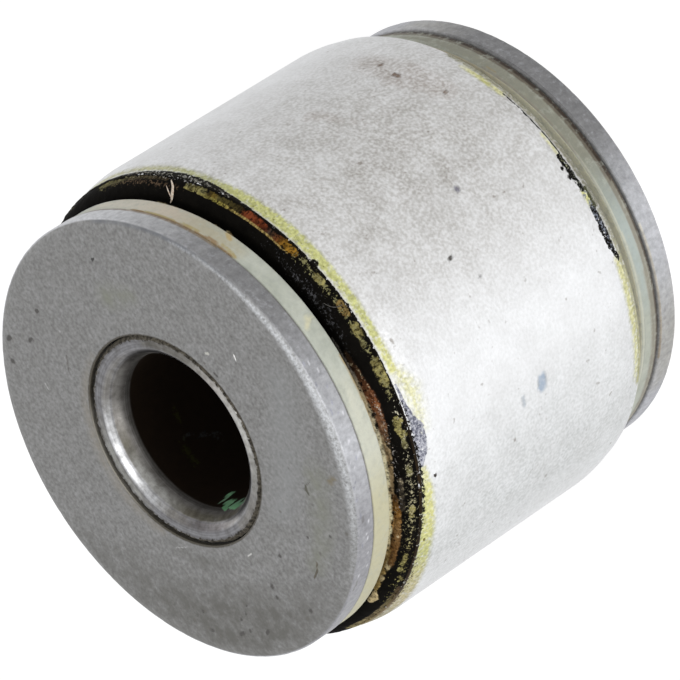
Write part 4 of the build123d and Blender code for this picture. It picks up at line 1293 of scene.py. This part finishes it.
# %% Lay the threads
THREAD_SIDES = 6


def lay_thread(name, places, material, slot):
    """Bridge flattened rings at places (angle, radius, height, half width, half thickness) in mm."""
    bm = bmesh.new()
    centres = [(direction(a, 0.0) * r + Vector((0, 0, z))) * MM for a, r, z, *_ in places]
    rings = []
    for i, (a, _, _, half_width, half_thickness) in enumerate(places):
        onward = (centres[min(i + 1, len(places) - 1)] - centres[max(i - 1, 0)]).normalized()
        outward = direction(a, 0.0) + Vector((0, 0, 1))
        sideways = onward.cross(outward).normalized()
        frame_matrix = Matrix((sideways, onward.cross(sideways), onward)).transposed().to_4x4()
        frame_matrix.translation = centres[i]
        shape = Matrix.Diagonal((half_width * MM, half_thickness * MM, 1.0, 1.0))
        ends = i in (0, len(places) - 1)
        made = bmesh.ops.create_circle(
            bm, cap_ends=ends, segments=THREAD_SIDES, radius=1.0, matrix=frame_matrix @ shape
        )["verts"]
        rings.append({edge for vert in made for edge in vert.link_edges})
    for one, other in zip(rings, rings[1:]):
        bmesh.ops.bridge_loops(bm, edges=list(one | other))
    bmesh.ops.recalc_face_normals(bm, faces=bm.faces)
    mesh = bpy.data.meshes.new(name)
    bm.to_mesh(mesh)
    bm.free()
    thread = bpy.data.objects.new(name, mesh)
    smooth = thread.modifiers.new("smooth", "SUBSURF")
    smooth.levels = smooth.render_levels = 2
    finish_piece(thread, material, slot)
    print(f"{name}: {len(mesh.polygons)} faces before smoothing")


fibres = []
for name, dark, light in (
    ("frayed_nylon_shaving", "#b09a86", "#ddd3c4"),
    ("dusty_cotton_thread", "#2b2a27", "#4c4a45"),
    ("white_cotton_lint", "#cfcfcb", "#efefee"),
):
    fibre, add, here = start_material(name)
    _, strands = noisy(add, here, 0.3, 3.0, 0.5, 0.35, 0.65)
    tone = add("Mix", {**BLEND, MIX_A: linear(dark), MIX_B: linear(light)}, {0: strands}, MIX_OUT)
    shaded = add("BsdfPrincipled", {"Roughness": 0.7, "IOR": 1.53}, {"Base Color": tone})
    add("OutputMaterial", links={"Surface": shaded})
    fibres.append(fibre)
pale_fibre, grey_fibre, lint = fibres

shaving = [
    (-29.6, 36.62, 59.15, 0.05, 0.05),
    (-30.0, 36.50, 59.45, 0.14, 0.07),
    (-31.0, 36.25, 59.85, 0.20, 0.08),
    (-31.5, 35.75, 60.35, 0.28, 0.10),
    (-31.6, 35.00, 60.78, 0.34, 0.10),
    (-31.3, 34.25, 60.88, 0.24, 0.08),
    (-30.6, 33.75, 60.86, 0.05, 0.04),
]
split_end = [
    (-29.1, 36.10, 60.05, 0.04, 0.04),
    (-29.9, 35.75, 60.40, 0.09, 0.06),
    (-30.7, 35.25, 60.70, 0.10, 0.06),
    (-31.3, 34.80, 60.85, 0.05, 0.05),
]
thread = [
    (-80.0, 35.35, 60.52, 0.05, 0.04),
    (-81.3, 35.65, 60.35, 0.07, 0.05),
    (-82.4, 36.00, 60.02, 0.07, 0.05),
    (-83.0, 36.45, 59.30, 0.06, 0.05),
    (-82.9, 36.62, 58.85, 0.04, 0.04),
]
flake = [
    (-74.0, 24.10, 69.62, 0.10, 0.05),
    (-75.0, 24.05, 69.63, 0.30, 0.07),
    (-76.0, 23.70, 69.63, 0.26, 0.07),
    (-77.0, 23.45, 69.62, 0.10, 0.05),
]
lay_thread("shaving_on_wrap", shaving, pale_fibre, "nylon")
lay_thread("shaving_split_end", split_end, pale_fibre, "nylon")
lay_thread("thread_on_wrap", thread, grey_fibre, "nylon")
lay_thread("lint_on_face", flake, lint, "nylon")

# %% Finish
bpy.context.scene.view_settings.view_transform = "Standard"
